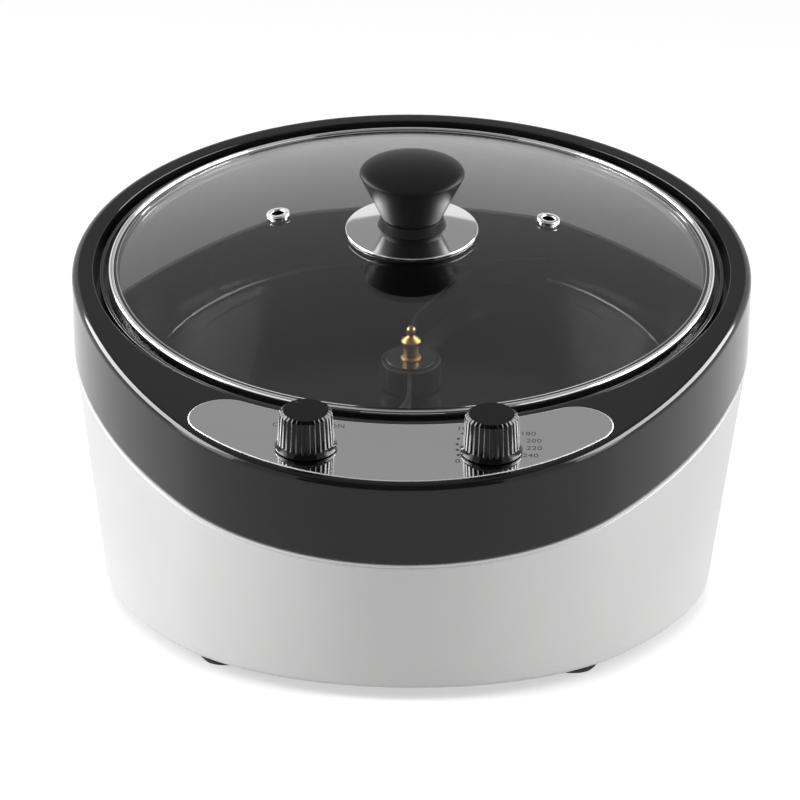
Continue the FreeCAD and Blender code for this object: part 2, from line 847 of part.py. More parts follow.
def thermal_fuse():
    """Cut-out lying under the reflector's floor."""
    level = reflector_floor_level - fuse_radius
    body = Part.makeCylinder(fuse_radius, fuse_length, vector(fuse_x, -fuse_length / 2, level),
                             vector(0, 1, 0))
    return on_deck(body)


# ---- Drive --------------------------------------------------------------------------------

def bracket_pillars():
    pillars = []
    for x, y in pillar_places():
        pillars.append(disc(pillar_radius, bracket_level, boss_under, x, y))
    return on_deck(Part.makeCompound(pillars))


def motor_bracket():
    """Three-armed plate that carries the gearbox on the pillars."""
    plate = disc(bracket_hub_radius, bracket_under, bracket_level)
    arms = []
    for i, (x, y) in enumerate(pillar_places()):
        arm = block(pillar_pitch_radius, bracket_arm_width, bracket_under, bracket_level,
                    pillar_pitch_radius / 2, 0)
        arms.append(turned_about_axis(arm, -90 + 360.0 * i / pillar_count))
        arms.append(disc(bracket_arm_width / 2, bracket_under, bracket_level, x, y))
    plate = plate.multiFuse(arms)
    plate = plate.cut(disc(coupler_radius + reach_past, bracket_under - reach_past,
                           bracket_level + reach_past))
    for x, y in pillar_places():
        plate = plate.cut(disc(screw_radius + screw_clearance, bracket_under - reach_past,
                               bracket_level + reach_past, x, y))
    return on_deck(plate.removeSplitter())


def bracket_screws():
    screws = []
    for x, y in pillar_places():
        screw = pan_head_screw(bracket_thickness)
        screw.translate(vector(x, y, bracket_under))
        screws.append(screw)
    return on_deck(Part.makeCompound(screws))


def gearbox_case():
    case = disc(gearbox_radius, gearbox_under, bracket_under)
    case = rounded(case, [(gearbox_radius, gearbox_under)], motor_edge_round)
    return on_deck(case.cut(disc(drive_radius + running_gap, bracket_under - gearbox_height / 2,
                                 bracket_under + reach_past)))


def drive_motor():
    low = gearbox_under - motor_height
    can = disc(motor_radius, low, gearbox_under)
    return on_deck(rounded(can, [(motor_radius, low)], motor_edge_round))


def gearbox_shaft():
    low = bracket_under - gearbox_height / 2 + running_gap
    return on_deck(disc(drive_radius, low, drive_joint_level))


def drive_coupler():
    """Sleeve that joins the gearbox's shaft to the stirrer's spindle."""
    low = bracket_under + fit_gap
    sleeve = ring(coupler_radius, drive_radius + running_gap / 2, low, coupler_top)
    return on_deck(sleeve)


def drive_bush():
    """Plain bearing pressed into the pan's sleeve from below."""
    bore = drive_radius + running_gap
    barrel = sleeve_bore_radius - running_gap / 2
    flange_under = pan_under - drive_bush_flange
    profile = [(bore, flange_under), (drive_bush_flange_radius, flange_under),
               (drive_bush_flange_radius, pan_under), (barrel, pan_under), (barrel, sleeve_top),
               (bore, sleeve_top)]
    return on_deck(turned(profile))


def stirrer_spindle():
    """Runs through the bush, is flatted for the hub and threaded for the nut."""
    hub_seat = hub_top - hub_wall
    shank = disc(drive_radius, drive_joint_level, hub_seat)
    flatted = d_section(drive_radius, hub_drive_flat, hub_seat, hub_top)
    thread = disc(thread_radius, hub_top, washer_top + nut_tall / 2)
    return on_deck(shank.multiFuse([flatted, thread]).removeSplitter())


# ---- Stirrer ------------------------------------------------------------------------------

def stirrer_hub():
    """Cap that turns over the pan's sleeve."""
    inner = sleeve_radius + reach_past
    profile = [(inner, stirrer_under), (hub_radius, stirrer_under), (hub_radius, hub_top), (0, hub_top),
               (0, hub_top - hub_wall), (inner, hub_top - hub_wall)]
    cap = rounded(turned(profile), [(hub_radius, hub_top)], fit_gap)
    hole = d_section(drive_radius + running_gap, hub_drive_flat, hub_top - hub_wall - reach_past,
                     hub_top + reach_past)
    return on_deck(cap.cut(hole))


def offset_corners(points, offset):
    """Corners of a line drawn beside a bent line."""
    corners = []
    for i, point in enumerate(points):
        before = unit(point - points[i - 1]) if i else unit(points[1] - point)
        after = unit(points[i + 1] - point) if i + 1 < len(points) else before
        normal = vector(-before.y - after.y, before.x + after.x)
        corners.append(point + normal * (offset * 2 / normal.Length ** 2))
    return corners


def turned_about_drive(shape, angle):
    copy = shape.copy()
    copy.rotate(deck_point(0, 0, 0), deck_point(0, 0, 1) - deck_point(0, 0, 0), angle)
    return copy


def stirrer_arm():
    """Thin upright strip, bent out from the hub and round towards the wall."""
    points = [vector(x, y) for x, y in arm_points]
    half = arm_thickness / 2
    left = offset_corners(points, half)
    right = offset_corners(points, -half)
    turns = []
    for before, corner, after in zip(points, points[1:], points[2:]):
        cross = (corner - before).cross(after - corner).z
        turns.append(math.copysign(half, cross))
    left_edges = bent_path(left, [bend - turn for bend, turn in zip(arm_bends, turns)])
    right_edges = bent_path(right, [bend + turn for bend, turn in zip(arm_bends, turns)])
    root = Part.LineSegment(left[0], right[0]).toShape()
    tip = Part.LineSegment(left[-1], right[-1]).toShape()
    wire = Part.Wire(Part.__sortEdges__(left_edges + right_edges + [root, tip]))
    wire.translate(vector(0, 0, stirrer_under))
    strip = prism(wire, arm_top - stirrer_under).cut(disc(hub_radius, stirrer_under, arm_top))
    return on_deck(strip)


def hub_washer():
    return on_deck(ring(hub_washer_radius, thread_radius + running_gap, hub_top, washer_top))


def spindle_nut():
    """Brass finger nut: round foot, waisted body, cone collar and a small ball on top."""
    low = washer_top
    collar = low + nut_collar_height
    ball_level = low + nut_tall - nut_ball_radius
    brim = nut_brim_height
    profile = [(0, low), (nut_skirt_radius, low), (nut_skirt_radius, low + brim),
               (nut_body_radius, low + 2 * brim), (nut_body_radius, collar - brim),
               (nut_skirt_radius, collar), (nut_skirt_radius, collar + brim),
               (nut_neck_radius, ball_level - nut_ball_radius), (nut_neck_radius, ball_level),
               (0, ball_level)]
    nut = turned(profile).fuse(Part.makeSphere(nut_ball_radius, vector(0, 0, ball_level)))
    bore = disc(thread_radius + running_gap / 2, low - reach_past, low + nut_tall / 2 + running_gap)
    return on_deck(nut.cut(bore).removeSplitter())


# ---- Lid ----------------------------------------------------------------------------------

def dome_height(radius, depth=0.0):
    """Height of the glass's outer face, or of a face that lies deeper in it."""
    return glass_apex - glass_radius + math.sqrt((glass_radius - depth) ** 2 - radius ** 2)


def vent_place(x):
    """Square to the glass at the vent."""
    centre = vector(0, 0, glass_apex - glass_radius)
    level = math.sqrt(glass_radius ** 2 - x ** 2 - vent_y ** 2)
    outward = unit(vector(x, vent_y, level))
    return FreeCAD.Placement(centre + outward * glass_radius, FreeCAD.Rotation(vector(0, 0, 1), outward))


def lid_glass():
    """Shallow dome of tempered glass with a centre hole and two vent holes."""
    hole = knob_screw_radius + fit_gap
    middle = glass_edge_radius / 2
    outside = Part.Arc(vector(hole, 0, dome_height(hole)), vector(middle, 0, dome_height(middle)),
                       vector(glass_edge_radius, 0, dome_height(glass_edge_radius)))
    inner_ends = [vector(r, 0, dome_height(r, glass_thickness)) for r in (hole, middle, glass_edge_radius)]
    inside = Part.Arc(*inner_ends)
    edge = Part.LineSegment(vector(glass_edge_radius, 0, dome_height(glass_edge_radius)), inner_ends[2])
    bore = Part.LineSegment(vector(hole, 0, dome_height(hole)), inner_ends[0])
    curves = [outside, edge, inside, bore]
    face = Part.Face(Part.Wire(Part.__sortEdges__([curve.toShape() for curve in curves])))
    dome = face.revolve(vector(0, 0, 0), vector(0, 0, 1), 360)
    for x in (-vent_x, vent_x):
        vent = disc(vent_barrel_radius + running_gap, -2 * glass_thickness, glass_thickness)
        vent.Placement = vent_place(x)
        dome = dome.cut(vent)
    return on_deck(dome)


def vent_eyelet(x):
    """Rolled steel eyelet that lines a steam vent."""
    seat = running_gap
    under = -glass_thickness - seat
    profile = [(vent_bore_radius, under - vent_flange), (vent_flange_radius, under - vent_flange),
               (vent_flange_radius, under), (vent_barrel_radius, under), (vent_barrel_radius, seat),
               (vent_flange_radius, seat), (vent_flange_radius, seat + vent_flange),
               (vent_bore_radius, seat + vent_flange)]
    eyelet = turned(profile)
    eyelet = rounded(eyelet, [(vent_flange_radius, seat + vent_flange)], vent_flange / 2)
    eyelet.Placement = vent_place(x)
    return on_deck(eyelet)


def lid_rim():
    """Rolled steel channel round the glass's edge."""
    inner = lid_radius - rim_wall
    under_lip = dome_height(glass_edge_radius, glass_thickness) - running_gap
    top_lip = dome_height(rim_top_lip_radius) + running_gap
    profile = [(rim_foot_lip_radius, rim_foot), (lid_radius, rim_foot), (lid_radius, rim_top),
               (rim_top_lip_radius, rim_top), (rim_top_lip_radius, top_lip), (inner, top_lip),
               (inner, under_lip), (rim_foot_lip_radius, under_lip)]
    rim = turned(profile)
    rim = rounded(rim, [(lid_radius, rim_top)], rim_edge_round)
    rim = rounded(rim, [(rim_top_lip_radius, rim_top)], rim_lip_round)
    return on_deck(rim)


def lid_gasket():
    return on_deck(ring(gasket_outer_radius, gasket_inner_radius, pan_flange_top, rim_foot))


def seat_washer():
    return on_deck(ring(seat_washer_radius, knob_screw_radius + running_gap, glass_apex, dish_under))


def knob_dish():
    """Polished steel dish that droops from the knob's foot to the glass."""
    bore = knob_screw_radius + running_gap
    rim_under = dome_height(dish_radius) + dish_gap
    middle = vector((dish_flat_radius + dish_radius) / 2, 0, (dish_under + rim_under) / 2 + dish_bulge)
    seat = vector(dish_flat_radius, 0, dish_under)
    rim = vector(dish_radius, 0, rim_under)
    sheet = vector(0, 0, dish_sheet)
    edges = [Part.makeLine(vector(bore, 0, dish_under), seat),
             Part.Arc(seat, middle, rim).toShape(),
             Part.makeLine(rim, rim + sheet),
             Part.Arc(rim + sheet, middle + sheet, seat + sheet).toShape(),
             Part.makeLine(seat + sheet, vector(bore, 0, dish_under) + sheet),
             Part.makeLine(vector(bore, 0, dish_under) + sheet, vector(bore, 0, dish_under))]
    dish = Part.Face(Part.Wire(edges)).revolve(vector(0, 0, 0), vector(0, 0, 1), 360)
    dish = rounded(dish, [(dish_radius, rim_under + dish_sheet)], dish_sheet / 3)
    return on_deck(dish)


def knob_collar():
    """Short flared foot of the lid's knob."""
    bore = knob_screw_radius + running_gap
    profile = [(bore, collar_foot), (collar_foot_radius, collar_foot), (collar_waist_radius, collar_top),
               (bore, collar_top)]
    return on_deck(turned(profile))


def lid_knob():
    """Grip that widens upwards to a crowned top."""
    bore = knob_screw_radius + running_gap
    blind = knob_screw_top() + running_gap
    brim = grip_foot + grip_height
    crown = (grip_top_radius ** 2 + grip_crown ** 2) / (2 * grip_crown)
    summit = brim + grip_crown
    middle = grip_top_radius / 2
    shoulder = vector(grip_top_radius, 0, brim)
    mid_height = summit - crown + math.sqrt(crown ** 2 - middle ** 2)
    edges = [Part.makeLine(vector(0, 0, grip_foot), vector(grip_foot_radius, 0, grip_foot)),
             Part.makeLine(vector(grip_foot_radius, 0, grip_foot), shoulder),
             Part.Arc(shoulder, vector(middle, 0, mid_height), vector(0, 0, summit)).toShape(),
             Part.makeLine(vector(0, 0, summit), vector(0, 0, grip_foot))]
    grip = Part.Face(Part.Wire(edges)).revolve(vector(0, 0, 0), vector(0, 0, 1), 360)
    grip = rounded(grip, [(grip_top_radius, brim)], grip_edge_round)
    foot = disc(grip_foot_radius - grip_neck, collar_top, grip_foot + running_gap)
    return on_deck(grip.fuse(foot).cut(disc(bore, collar_top - reach_past, blind)))


def knob_screw_top():
    return collar_top + knob_screw_reach


def knob_screw():
    """Screw from inside the lid, with a wide round head under the glass."""
    low = dome_height(knob_screw_head_radius, glass_thickness) - running_gap
    head = disc(knob_screw_head_radius, low - knob_screw_head_height, low)
    head = rounded(head, [(knob_screw_head_radius, low - knob_screw_head_height)],
                   knob_screw_head_height / 2)
    return on_deck(head.fuse(disc(knob_screw_radius, low, knob_screw_top())))


# ---- Underside ----------------------------------------------------------------------------

def foot_places():
    x = foot_share * base_back_radius
    front_y = base_centre_y - base_reach + foot_setback
    rear_y = base_centre_y + rear_foot_share * base_back_radius
    return [(-x, front_y), (x, front_y), (-x, rear_y), (x, rear_y)]


def bottom_cover():
    """Plate let into the housing's foot, slotted below the motor."""
    cover = prism(base_egg(housing_wall + fit_gap, cover_under), cover_thickness)
    cutters = []
    for i in range(slot_count):
        x = slot_pitch * (i - (slot_count - 1) / 2)
        length = slot_length - 2 * abs(x) / slot_count
        y = slot_centre_y + lid_centre_y
        slot = block(slot_width, length - slot_width, cover_under - reach_past, cover_top + reach_past, x, y)
        ends = [disc(slot_width / 2, cover_under - reach_past, cover_top + reach_past, x,
                     y + side * (length - slot_width) / 2) for side in (-1, 1)]
        cutters.append(slot.multiFuse(ends))
    for x, y in foot_places() + cover_post_points():
        cutters.append(disc(screw_radius + screw_clearance, cover_under - reach_past,
                            cover_top + reach_past, x, y))
    return cover.cut(Part.makeCompound(cutters))


def rubber_foot(place):
    """Round foot with a recess for its screw."""
    x, y = place
    profile = [(screw_radius + screw_clearance, foot_recess_depth), (foot_recess_radius, foot_recess_depth),
               (foot_recess_radius, 0), (foot_radius - foot_edge_round, 0), (foot_radius, foot_edge_round),
               (foot_radius, cover_under), (screw_radius + screw_clearance, cover_under)]
    foot = turned(profile)
    foot.translate(vector(x, y, 0))
    return foot


def foot_screws():
    screws = []
    for x, y in foot_places():
        screw = pan_head_screw(cover_top - foot_recess_depth)
        screw.translate(vector(x, y, foot_recess_depth))
        screws.append(screw)
    return Part.makeCompound(screws)


def cover_screws():
    screws = []
    shank = cover_thickness + cover_post_height / 2
    for x, y in cover_post_points():
        screw = pan_head_screw(shank)
        screw = screw.cut(ring(screw_radius + reach_past, screw_radius - screw_clearance,
                               cover_thickness, shank + reach_past))
        screw.translate(vector(x, y, cover_under))
        screws.append(screw)
    return Part.makeCompound(screws)


def terminal_block():
    """Wiring block on the bottom cover, with a screw well in each cell."""
    y = base_centre_y + base_back_radius - terminal_setback
    body = block(terminal_length, terminal_width, cover_top, cover_top + terminal_height, 0, y)
    cell = terminal_length / terminal_cells
    for i in range(terminal_cells):
        x = cell * (i - (terminal_cells - 1) / 2)
        well = disc(cell / 4, cover_top + terminal_height / 3, cover_top + terminal_height + reach_past, x, y)
        body = body.cut(well)
    for i in range(terminal_cells - 1):
        x = cell * (i - (terminal_cells - 2) / 2)
        slit = block(1.0, terminal_width + reach_past, cover_top + terminal_height * 0.7,
                     cover_top + terminal_height + reach_past, x, y)
        body = body.cut(slit)
    return body


def capillary_points():
    level = bulb_level()
    below = reflector_floor_level - capillary_drop
    turn_x = bulb_length / 2 + capillary_run
    case_under = deck_under - thermostat_depth
    return [vector(bulb_length / 2, bulb_y, level), vector(turn_x, bulb_y, level),
            vector(turn_x, bulb_y - capillary_step, below),
            vector(knob_x, knob_y + capillary_rise, below),
            vector(knob_x, knob_y, below + capillary_rise), vector(knob_x, knob_y, case_under)]


def capillary_tube():
    """Copper tube from the bulb, under the reflector and up to the thermostat."""
    return on_deck(bent_rod(capillary_points(), capillary_bends, capillary_radius))


def capillary_hole():
    """Where the capillary tube passes through the reflector's floor."""
    above, below = capillary_points()[1:3]
    share = (above.z - reflector_floor_level) / (above.z - below.z)
    return above.x, above.y + (below.y - above.y) * share, 3 * capillary_radius


# ---- Parts --------------------------------------------------------------------------------

def save(name, shape):
    shape.exportStep("parts/" + name + ".step")


def main():
    os.makedirs("parts", exist_ok=True)
    save("lower_housing", lower_housing())
    save("top_bezel", top_bezel())
    save("joining_screws", joining_screws())
    save("control_panel", control_panel())
    save("cord_gland", cord_gland())
    save("bottom_cover", bottom_cover())
    for name, place in zip(("foot_front_left", "foot_front_right", "foot_rear_left", "foot_rear_right"),
                           foot_places()):
        save(name, rubber_foot(place))
    save("foot_screws", foot_screws())
    save("cover_screws", cover_screws())
    save("terminal_block", terminal_block())
    save("switch_body", switch_body())
    save("thermostat_body", thermostat_body())
    save("panel_nuts", panel_nuts())
    save("roasting_pan", roasting_pan())
    save("heating_element", heating_element())
    save("element_clips", element_clips())
    save("thermostat_bulb", thermostat_bulb())
    save("bulb_clip", bulb_clip())
    save("capillary_tube", capillary_tube())
    save("heat_reflector", heat_reflector())
    save("thermal_fuse", thermal_fuse())
    save("bracket_pillars", bracket_pillars())
    save("motor_bracket", motor_bracket())
    save("bracket_screws", bracket_screws())
    save("gearbox_case", gearbox_case())
    save("drive_motor", drive_motor())
    save("drive_bush", drive_bush())
    save("gearbox_shaft", gearbox_shaft())
    save("drive_coupler", drive_coupler())
    save("stirrer_spindle", stirrer_spindle())
    save("stirrer_hub", stirrer_hub())
    save("stirrer_arm_rear", stirrer_arm())
    save("stirrer_arm_front", turned_about_drive(stirrer_arm(), half_turn))
    save("hub_washer", hub_washer())
    save("spindle_nut", spindle_nut())
    save("stir_knob", at_knob(fluted_knob(), -knob_x, off_angle))
    save("switch_spindle", at_knob(control_spindle(switch_depth), -knob_x, off_angle))
    save("heat_knob", at_knob(fluted_knob(), knob_x))
    save("thermostat_spindle", at_knob(control_spindle(thermostat_depth), knob_x))
    save("lid_glass", lid_glass())
    save("lid_rim", lid_rim())
    save("lid_gasket", lid_gasket())
    save("vent_eyelet_left", vent_eyelet(-vent_x))
    save("vent_eyelet_right", vent_eyelet(vent_x))
    save("seat_washer", seat_washer())
    save("knob_dish", knob_dish())
    save("knob_collar", knob_collar())
    save("lid_knob", lid_knob())
    save("knob_screw", knob_screw())


main()
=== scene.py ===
import json
import math

import bmesh
import bpy
from mathutils import Matrix, Vector


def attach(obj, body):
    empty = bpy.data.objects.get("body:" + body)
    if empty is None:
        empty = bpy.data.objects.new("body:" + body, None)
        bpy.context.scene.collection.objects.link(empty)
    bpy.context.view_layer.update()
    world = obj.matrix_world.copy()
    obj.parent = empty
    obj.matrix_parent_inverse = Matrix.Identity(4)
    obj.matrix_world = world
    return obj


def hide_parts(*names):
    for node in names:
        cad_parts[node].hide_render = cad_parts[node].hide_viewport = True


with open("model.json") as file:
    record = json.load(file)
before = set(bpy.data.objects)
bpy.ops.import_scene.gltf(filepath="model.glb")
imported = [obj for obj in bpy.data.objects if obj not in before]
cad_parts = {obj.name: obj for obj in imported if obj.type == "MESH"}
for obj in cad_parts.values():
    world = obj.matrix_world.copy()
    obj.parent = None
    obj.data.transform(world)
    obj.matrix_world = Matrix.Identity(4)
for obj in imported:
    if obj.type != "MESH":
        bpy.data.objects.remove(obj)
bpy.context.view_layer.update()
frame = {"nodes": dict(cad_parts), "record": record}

# Home coffee bean roaster. Pieces are shaped in millimetres, most of them on the deck: x to the
# right, y up the slope, z square to it, from the lid's axis at the level of the lid's rim.

MM = Matrix.Scale(0.001, 4)
TILT = math.radians(15.0)
LID_CENTRE = Vector((0, 15.798, 142.3))
DECK_MM = Matrix.Translation(LID_CENTRE) @ Matrix.Rotation(TILT, 4, "X")
ON_DECK = MM @ DECK_MM
ON_TABLE = MM

# ---- Sizes, in millimetres ------------------------------------------------------------------

OPENING_R = 136.4
DECK_TOP = 1.0
DECK_UNDER = -2.0
SEAM = -35.1
HOUSING_TOP = -35.5
HOUSING_WALL = 2.8
BAND_WALL = 3.0
BASE_LEVEL = 5.0
LEDGE_TOP = -7.2
LEDGE_UNDER = -9.7
LEDGE_BORE_R = 127.6
SKIRT_R = 138.9

DECK_EGG = (145.6, 272.0, 113.5, 188.3)
BASE_EGG = (130.7, 260.612, 109.627, 163.616)
BASE_CENTRE_Y = 14.491

# Below the seam the drafted wall draws in and slips forward by this much for each mm of drop.
WALL_DRAW_IN = 0.155
WALL_SLIP = 0.275
GROOVE_DEPTH = 0.4
REAR_DRAFT = math.radians(8.2)
GLAND_HEIGHT = 24.0
GLAND_HOLE_R = 6.25

PANEL_TOP = 1.2
PANEL_UNDER = 0.4
PANEL_INNER_R = 139.2
PANEL_OUTER_R = 109.3
PANEL_END_R = 15.0
FRONT_CENTRE = 74.8
PANEL_CLEARANCE = 0.15
PANEL_BEVEL = 0.5
PANEL_HOLE_R = 4.7

KNOB_X = 37.0
KNOB_Y = -159.0
KNOB_FOOT = 1.6
KNOB_TOP = 18.2
KNOB_FOOT_R = 8.6
KNOB_RECESS = 4.0
GRIP_FOOT = (11.38, 4.6)
GRIP_SHOULDER = (10.6, 17.1)
GRIP_TOP_R = 9.1
SPINDLE_R = 3.05
SPINDLE_END = 14.8
OFF_ANGLE = 33.0
FLUTES = 30
FLUTE_STEPS = 8
FLUTE_DEPTHS = {0: 0.45, 1: 0.39, 7: 0.39, 2: 0.14, 6: 0.14}

GLASS_EDGE_R = 128.4
GLASS_APEX = 17.4
GLASS_THICK = 3.6
GLASS_R = 479.79
GLASS_HOLE_R = 2.8
VENT_X = 58.3
VENT_Y = 18.0
VENT_HOLE_R = 3.95
SCREW_BORE_R = 2.55

MARK_HEIGHT = 2.9
FONT_SIZE = 1.42 * MARK_HEIGHT
PRINT_THICK = 0.024
PRINT_MIDDLE = 0.014

BACK_STEPS = 40
SIDE_STEPS = 24
FRONT_STEPS = 52
ROUND_STEPS = 160
FINE_STEPS = 192
DOME_STEPS = 40

# ---- Studio and camera, in metres -------------------------------------------------------------

FLOOR_LIFT = 0.55
AMBIENT = 0.42
CEILING_LEVEL = 1.2
CARD_AIM = (0, 0, 0.12)
CARD_GLOW = 15.0
LAMP_AIM = (0, 0, 0.1)

CAMERA_AIM = Vector((-0.0042, 0.0158, 0.0819))
CAMERA_REACH = 2.0
CAMERA_LENS = 208.125
CAMERA_ANGLES = (1.69, 14.76, 0.77)


# ---- Shaping helpers ------------------------------------------------------------------------

def ring_of(bm, radius, level, slack=0.02):
    """Edges of the ring with that radius and level on a turned piece."""
    def on_ring(vert):
        return abs(vert.co.xy.length - radius) < slack and abs(vert.co.z - level) < slack
    return [e for e in bm.edges if on_ring(e.verts[0]) and on_ring(e.verts[1])]


def ease(bm, edges, width, segments=3):
    """Rounds edges over."""
    bmesh.ops.bevel(bm, geom=edges, offset=width, offset_type="OFFSET", segments=segments,
                    profile=0.5, affect="EDGES", material=-1, clamp_overlap=True)


def trace(bm, moves):
    """Outline in the x-z plane: points (r, z), and arcs (r, z, turn, steps) about a centre."""
    start = bm.verts.new((moves[0][0], 0, moves[0][1]))
    here = start
    for move in moves[1:]:
        if len(move) == 2:
            made = bmesh.ops.extrude_vert_indiv(bm, verts=[here])
            after = made["verts"][0]
            after.co = (move[0], 0, move[1])
        else:
            r, z, turn, steps = move
            made = bmesh.ops.spin(bm, geom=[here], cent=(r, 0, z), axis=(0, -1, 0),
                                  angle=math.radians(turn), steps=steps)
            after = [g for g in made["geom_last"] if isinstance(g, bmesh.types.BMVert)][0]
        here = after
    return start, here


def turned(moves, eased=(), steps=ROUND_STEPS):
    """Turned piece from its outline. Eased lists the rings to round over: radius, level, width."""
    bm = bmesh.new()
    start, last = trace(bm, moves)
    bm.edges.new((last, start))
    bmesh.ops.remove_doubles(bm, verts=bm.verts, dist=1e-4)
    bmesh.ops.spin(bm, geom=bm.verts[:] + bm.edges[:], cent=(0, 0, 0), axis=(0, 0, 1),
                   angle=math.tau, steps=steps, use_merge=True)
    bmesh.ops.remove_doubles(bm, verts=bm.verts, dist=1e-3)
    bmesh.ops.delete(bm, geom=[e for e in bm.edges if not e.link_faces], context="EDGES")
    for radius, level, width in eased:
        ease(bm, ring_of(bm, radius, level), width, 4)
    return bm


def loop_of_arcs(bm, start, arcs):
    """Closed ring of arcs, each a centre, a turn in degrees and its steps. Returns its edges."""
    first = bm.verts.new(start)
    here, verts = first, {first}
    for (x, y), turn, steps in arcs:
        before = set(bm.verts)
        made = bmesh.ops.spin(bm, geom=[here], cent=(x, y, start[2]), axis=(0, 0, 1),
                              angle=math.radians(turn), steps=steps)
        here = [g for g in made["geom_last"] if isinstance(g, bmesh.types.BMVert)][0]
        verts |= set(bm.verts) - before
    bmesh.ops.weld_verts(bm, targetmap={here: first})
    return list({e for v in verts if v.is_valid for e in v.link_edges})


def egg_turns(outline):
    """Half turn of the back arc, turn of a side arc, half turn of the front arc, then the centre
    of the right side's arc and the distance to the front arc's centre."""
    back_r, side_r, front_r, reach = outline
    gap = reach - front_r
    drop = (gap ** 2 + (side_r - back_r) ** 2 - (side_r - front_r) ** 2) / (2 * gap)
    side_x = math.sqrt((side_r - back_r) ** 2 - drop ** 2)
    back_half = math.degrees(math.atan2(side_x, drop))
    front_half = math.degrees(math.atan2(side_x, gap - drop))
    return back_half, 180.0 - back_half - front_half, front_half, (side_x, -drop), gap


def egg(bm, outline, inset, level, centre_y=0.0, place=None):
    """Egg-shaped ring of four tangent arcs, its narrow end to the front. Returns its edges."""
    back_half, side_turn, front_half, side, gap = egg_turns(outline)
    arcs = [((0, 0), back_half, BACK_STEPS), (side, side_turn, SIDE_STEPS),
            ((0, -gap), 2 * front_half, FRONT_STEPS), ((-side[0], side[1]), side_turn, SIDE_STEPS),
            ((0, 0), back_half, BACK_STEPS)]
    edges = loop_of_arcs(bm, (0, outline[0] - inset, level), arcs)
    verts = list({v for e in edges for v in e.verts})
    bmesh.ops.translate(bm, verts=verts, vec=(0, centre_y, 0))
    if place is not None:
        bmesh.ops.transform(bm, verts=verts, matrix=place)
    return edges


def circle(bm, radius, level):
    """Round ring whose points face those of the deck's egg."""
    back_half, _, front_half, _, gap = egg_turns(DECK_EGG)
    front_r = DECK_EGG[2]
    joint = math.radians(front_half)
    front_seen = math.degrees(math.atan2(front_r * math.sin(joint),
                                         gap + front_r * math.cos(joint)))
    side_seen = 180.0 - back_half - front_seen
    arcs = [((0, 0), turn, steps) for turn, steps in
            ((back_half, BACK_STEPS), (side_seen, SIDE_STEPS), (2 * front_seen, FRONT_STEPS),
             (side_seen, SIDE_STEPS), (back_half, BACK_STEPS))]
    return loop_of_arcs(bm, (0, radius, level), arcs)


def bridge(bm, rings):
    """Walls between each ring and the next, and from the last back to the first."""
    for ring, after in zip(rings, rings[1:] + rings[:1]):
        bmesh.ops.bridge_loops(bm, edges=ring + after)


def shown(piece):
    """Mesh of a piece as its modifiers leave it."""
    depsgraph = bpy.context.evaluated_depsgraph_get()
    return bpy.data.meshes.new_from_object(piece.evaluated_get(depsgraph))


def to_object(bm, name):
    mesh = bpy.data.meshes.new(name)
    bm.to_mesh(mesh)
    bm.free()
    piece = bpy.data.objects.new(name, mesh)
    bpy.context.scene.collection.objects.link(piece)
    return piece


def cut(bm, cutters):
    """Takes the cutters away from a shape."""
    bmesh.ops.recalc_face_normals(bm, faces=bm.faces)
    body = to_object(bm, "blank")
    for cutter_bm in cutters:
        bmesh.ops.recalc_face_normals(cutter_bm, faces=cutter_bm.faces)
        cutter = to_object(cutter_bm, "cutter")
        tool = body.modifiers.new("cut", "BOOLEAN")
        tool.operation = "DIFFERENCE"
        tool.solver = "EXACT"
        tool.object = cutter
        bpy.context.view_layer.update()
        mesh = shown(body)
        body.modifiers.clear()
        body.data = mesh
        bpy.data.objects.remove(cutter)
    shaped = bmesh.new()
    shaped.from_mesh(body.data)
    bpy.data.objects.remove(body)
    return shaped


def rod(radius, low, high, place=Matrix.Identity(4), steps=48):
    bm = bmesh.new()
    middle = place @ Matrix.Translation((0, 0, (low + high) / 2))
    bmesh.ops.create_cone(bm, cap_ends=True, segments=steps, radius1=radius, radius2=radius,
                          depth=high - low, matrix=middle)
    return bm


def finish_piece(bm, name, body, node, material, place=ON_DECK, crease=32.0, flatten=True,
                 second=None):
    """Merges, smooths, places and dresses a shape, and hides the node it stands for."""
    bmesh.ops.remove_doubles(bm, verts=bm.verts, dist=2e-4)
    bmesh.ops.transform(bm, verts=bm.verts, matrix=place)
    bmesh.ops.recalc_face_normals(bm, faces=bm.faces)
    for face in bm.faces:
        face.smooth = True
    for edge in bm.edges:
        if edge.calc_face_angle(0.0) > math.radians(crease):
            edge.smooth = False
    piece = to_object(bm, name)
    piece.data.materials.append(material)
    if second is not None:
        piece.data.materials.append(second)
    if flatten:
        weight = piece.modifiers.new("even_faces", "WEIGHTED_NORMAL")
        weight.keep_sharp = True
    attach(piece, body)
    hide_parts(node)


# ---- Finishes ---------------------------------------------------------------------------------

PATCH_SCALE = 18.0
RELIEF_DEPTH = 0.0002

def new_material(name):
    material = bpy.data.materials.new(name)
    material.use_nodes = True
    nodes, links = material.node_tree.nodes, material.node_tree.links
    return material, nodes, links, nodes["Principled BSDF"]


def object_place(nodes, links, stretch=(1, 1, 1)):
    coords = nodes.new("ShaderNodeTexCoord")
    mapping = nodes.new("ShaderNodeMapping")
    mapping.inputs["Scale"].default_value = stretch
    links.new(coords.outputs["Object"], mapping.inputs["Vector"])
    return mapping.outputs["Vector"]


def noise(nodes, links, where, scale, detail=3.0):
    texture = nodes.new("ShaderNodeTexNoise")
    texture.inputs["Scale"].default_value = scale
    texture.inputs["Detail"].default_value = detail
    links.new(where, texture.inputs["Vector"])
    return texture.outputs["Fac"]


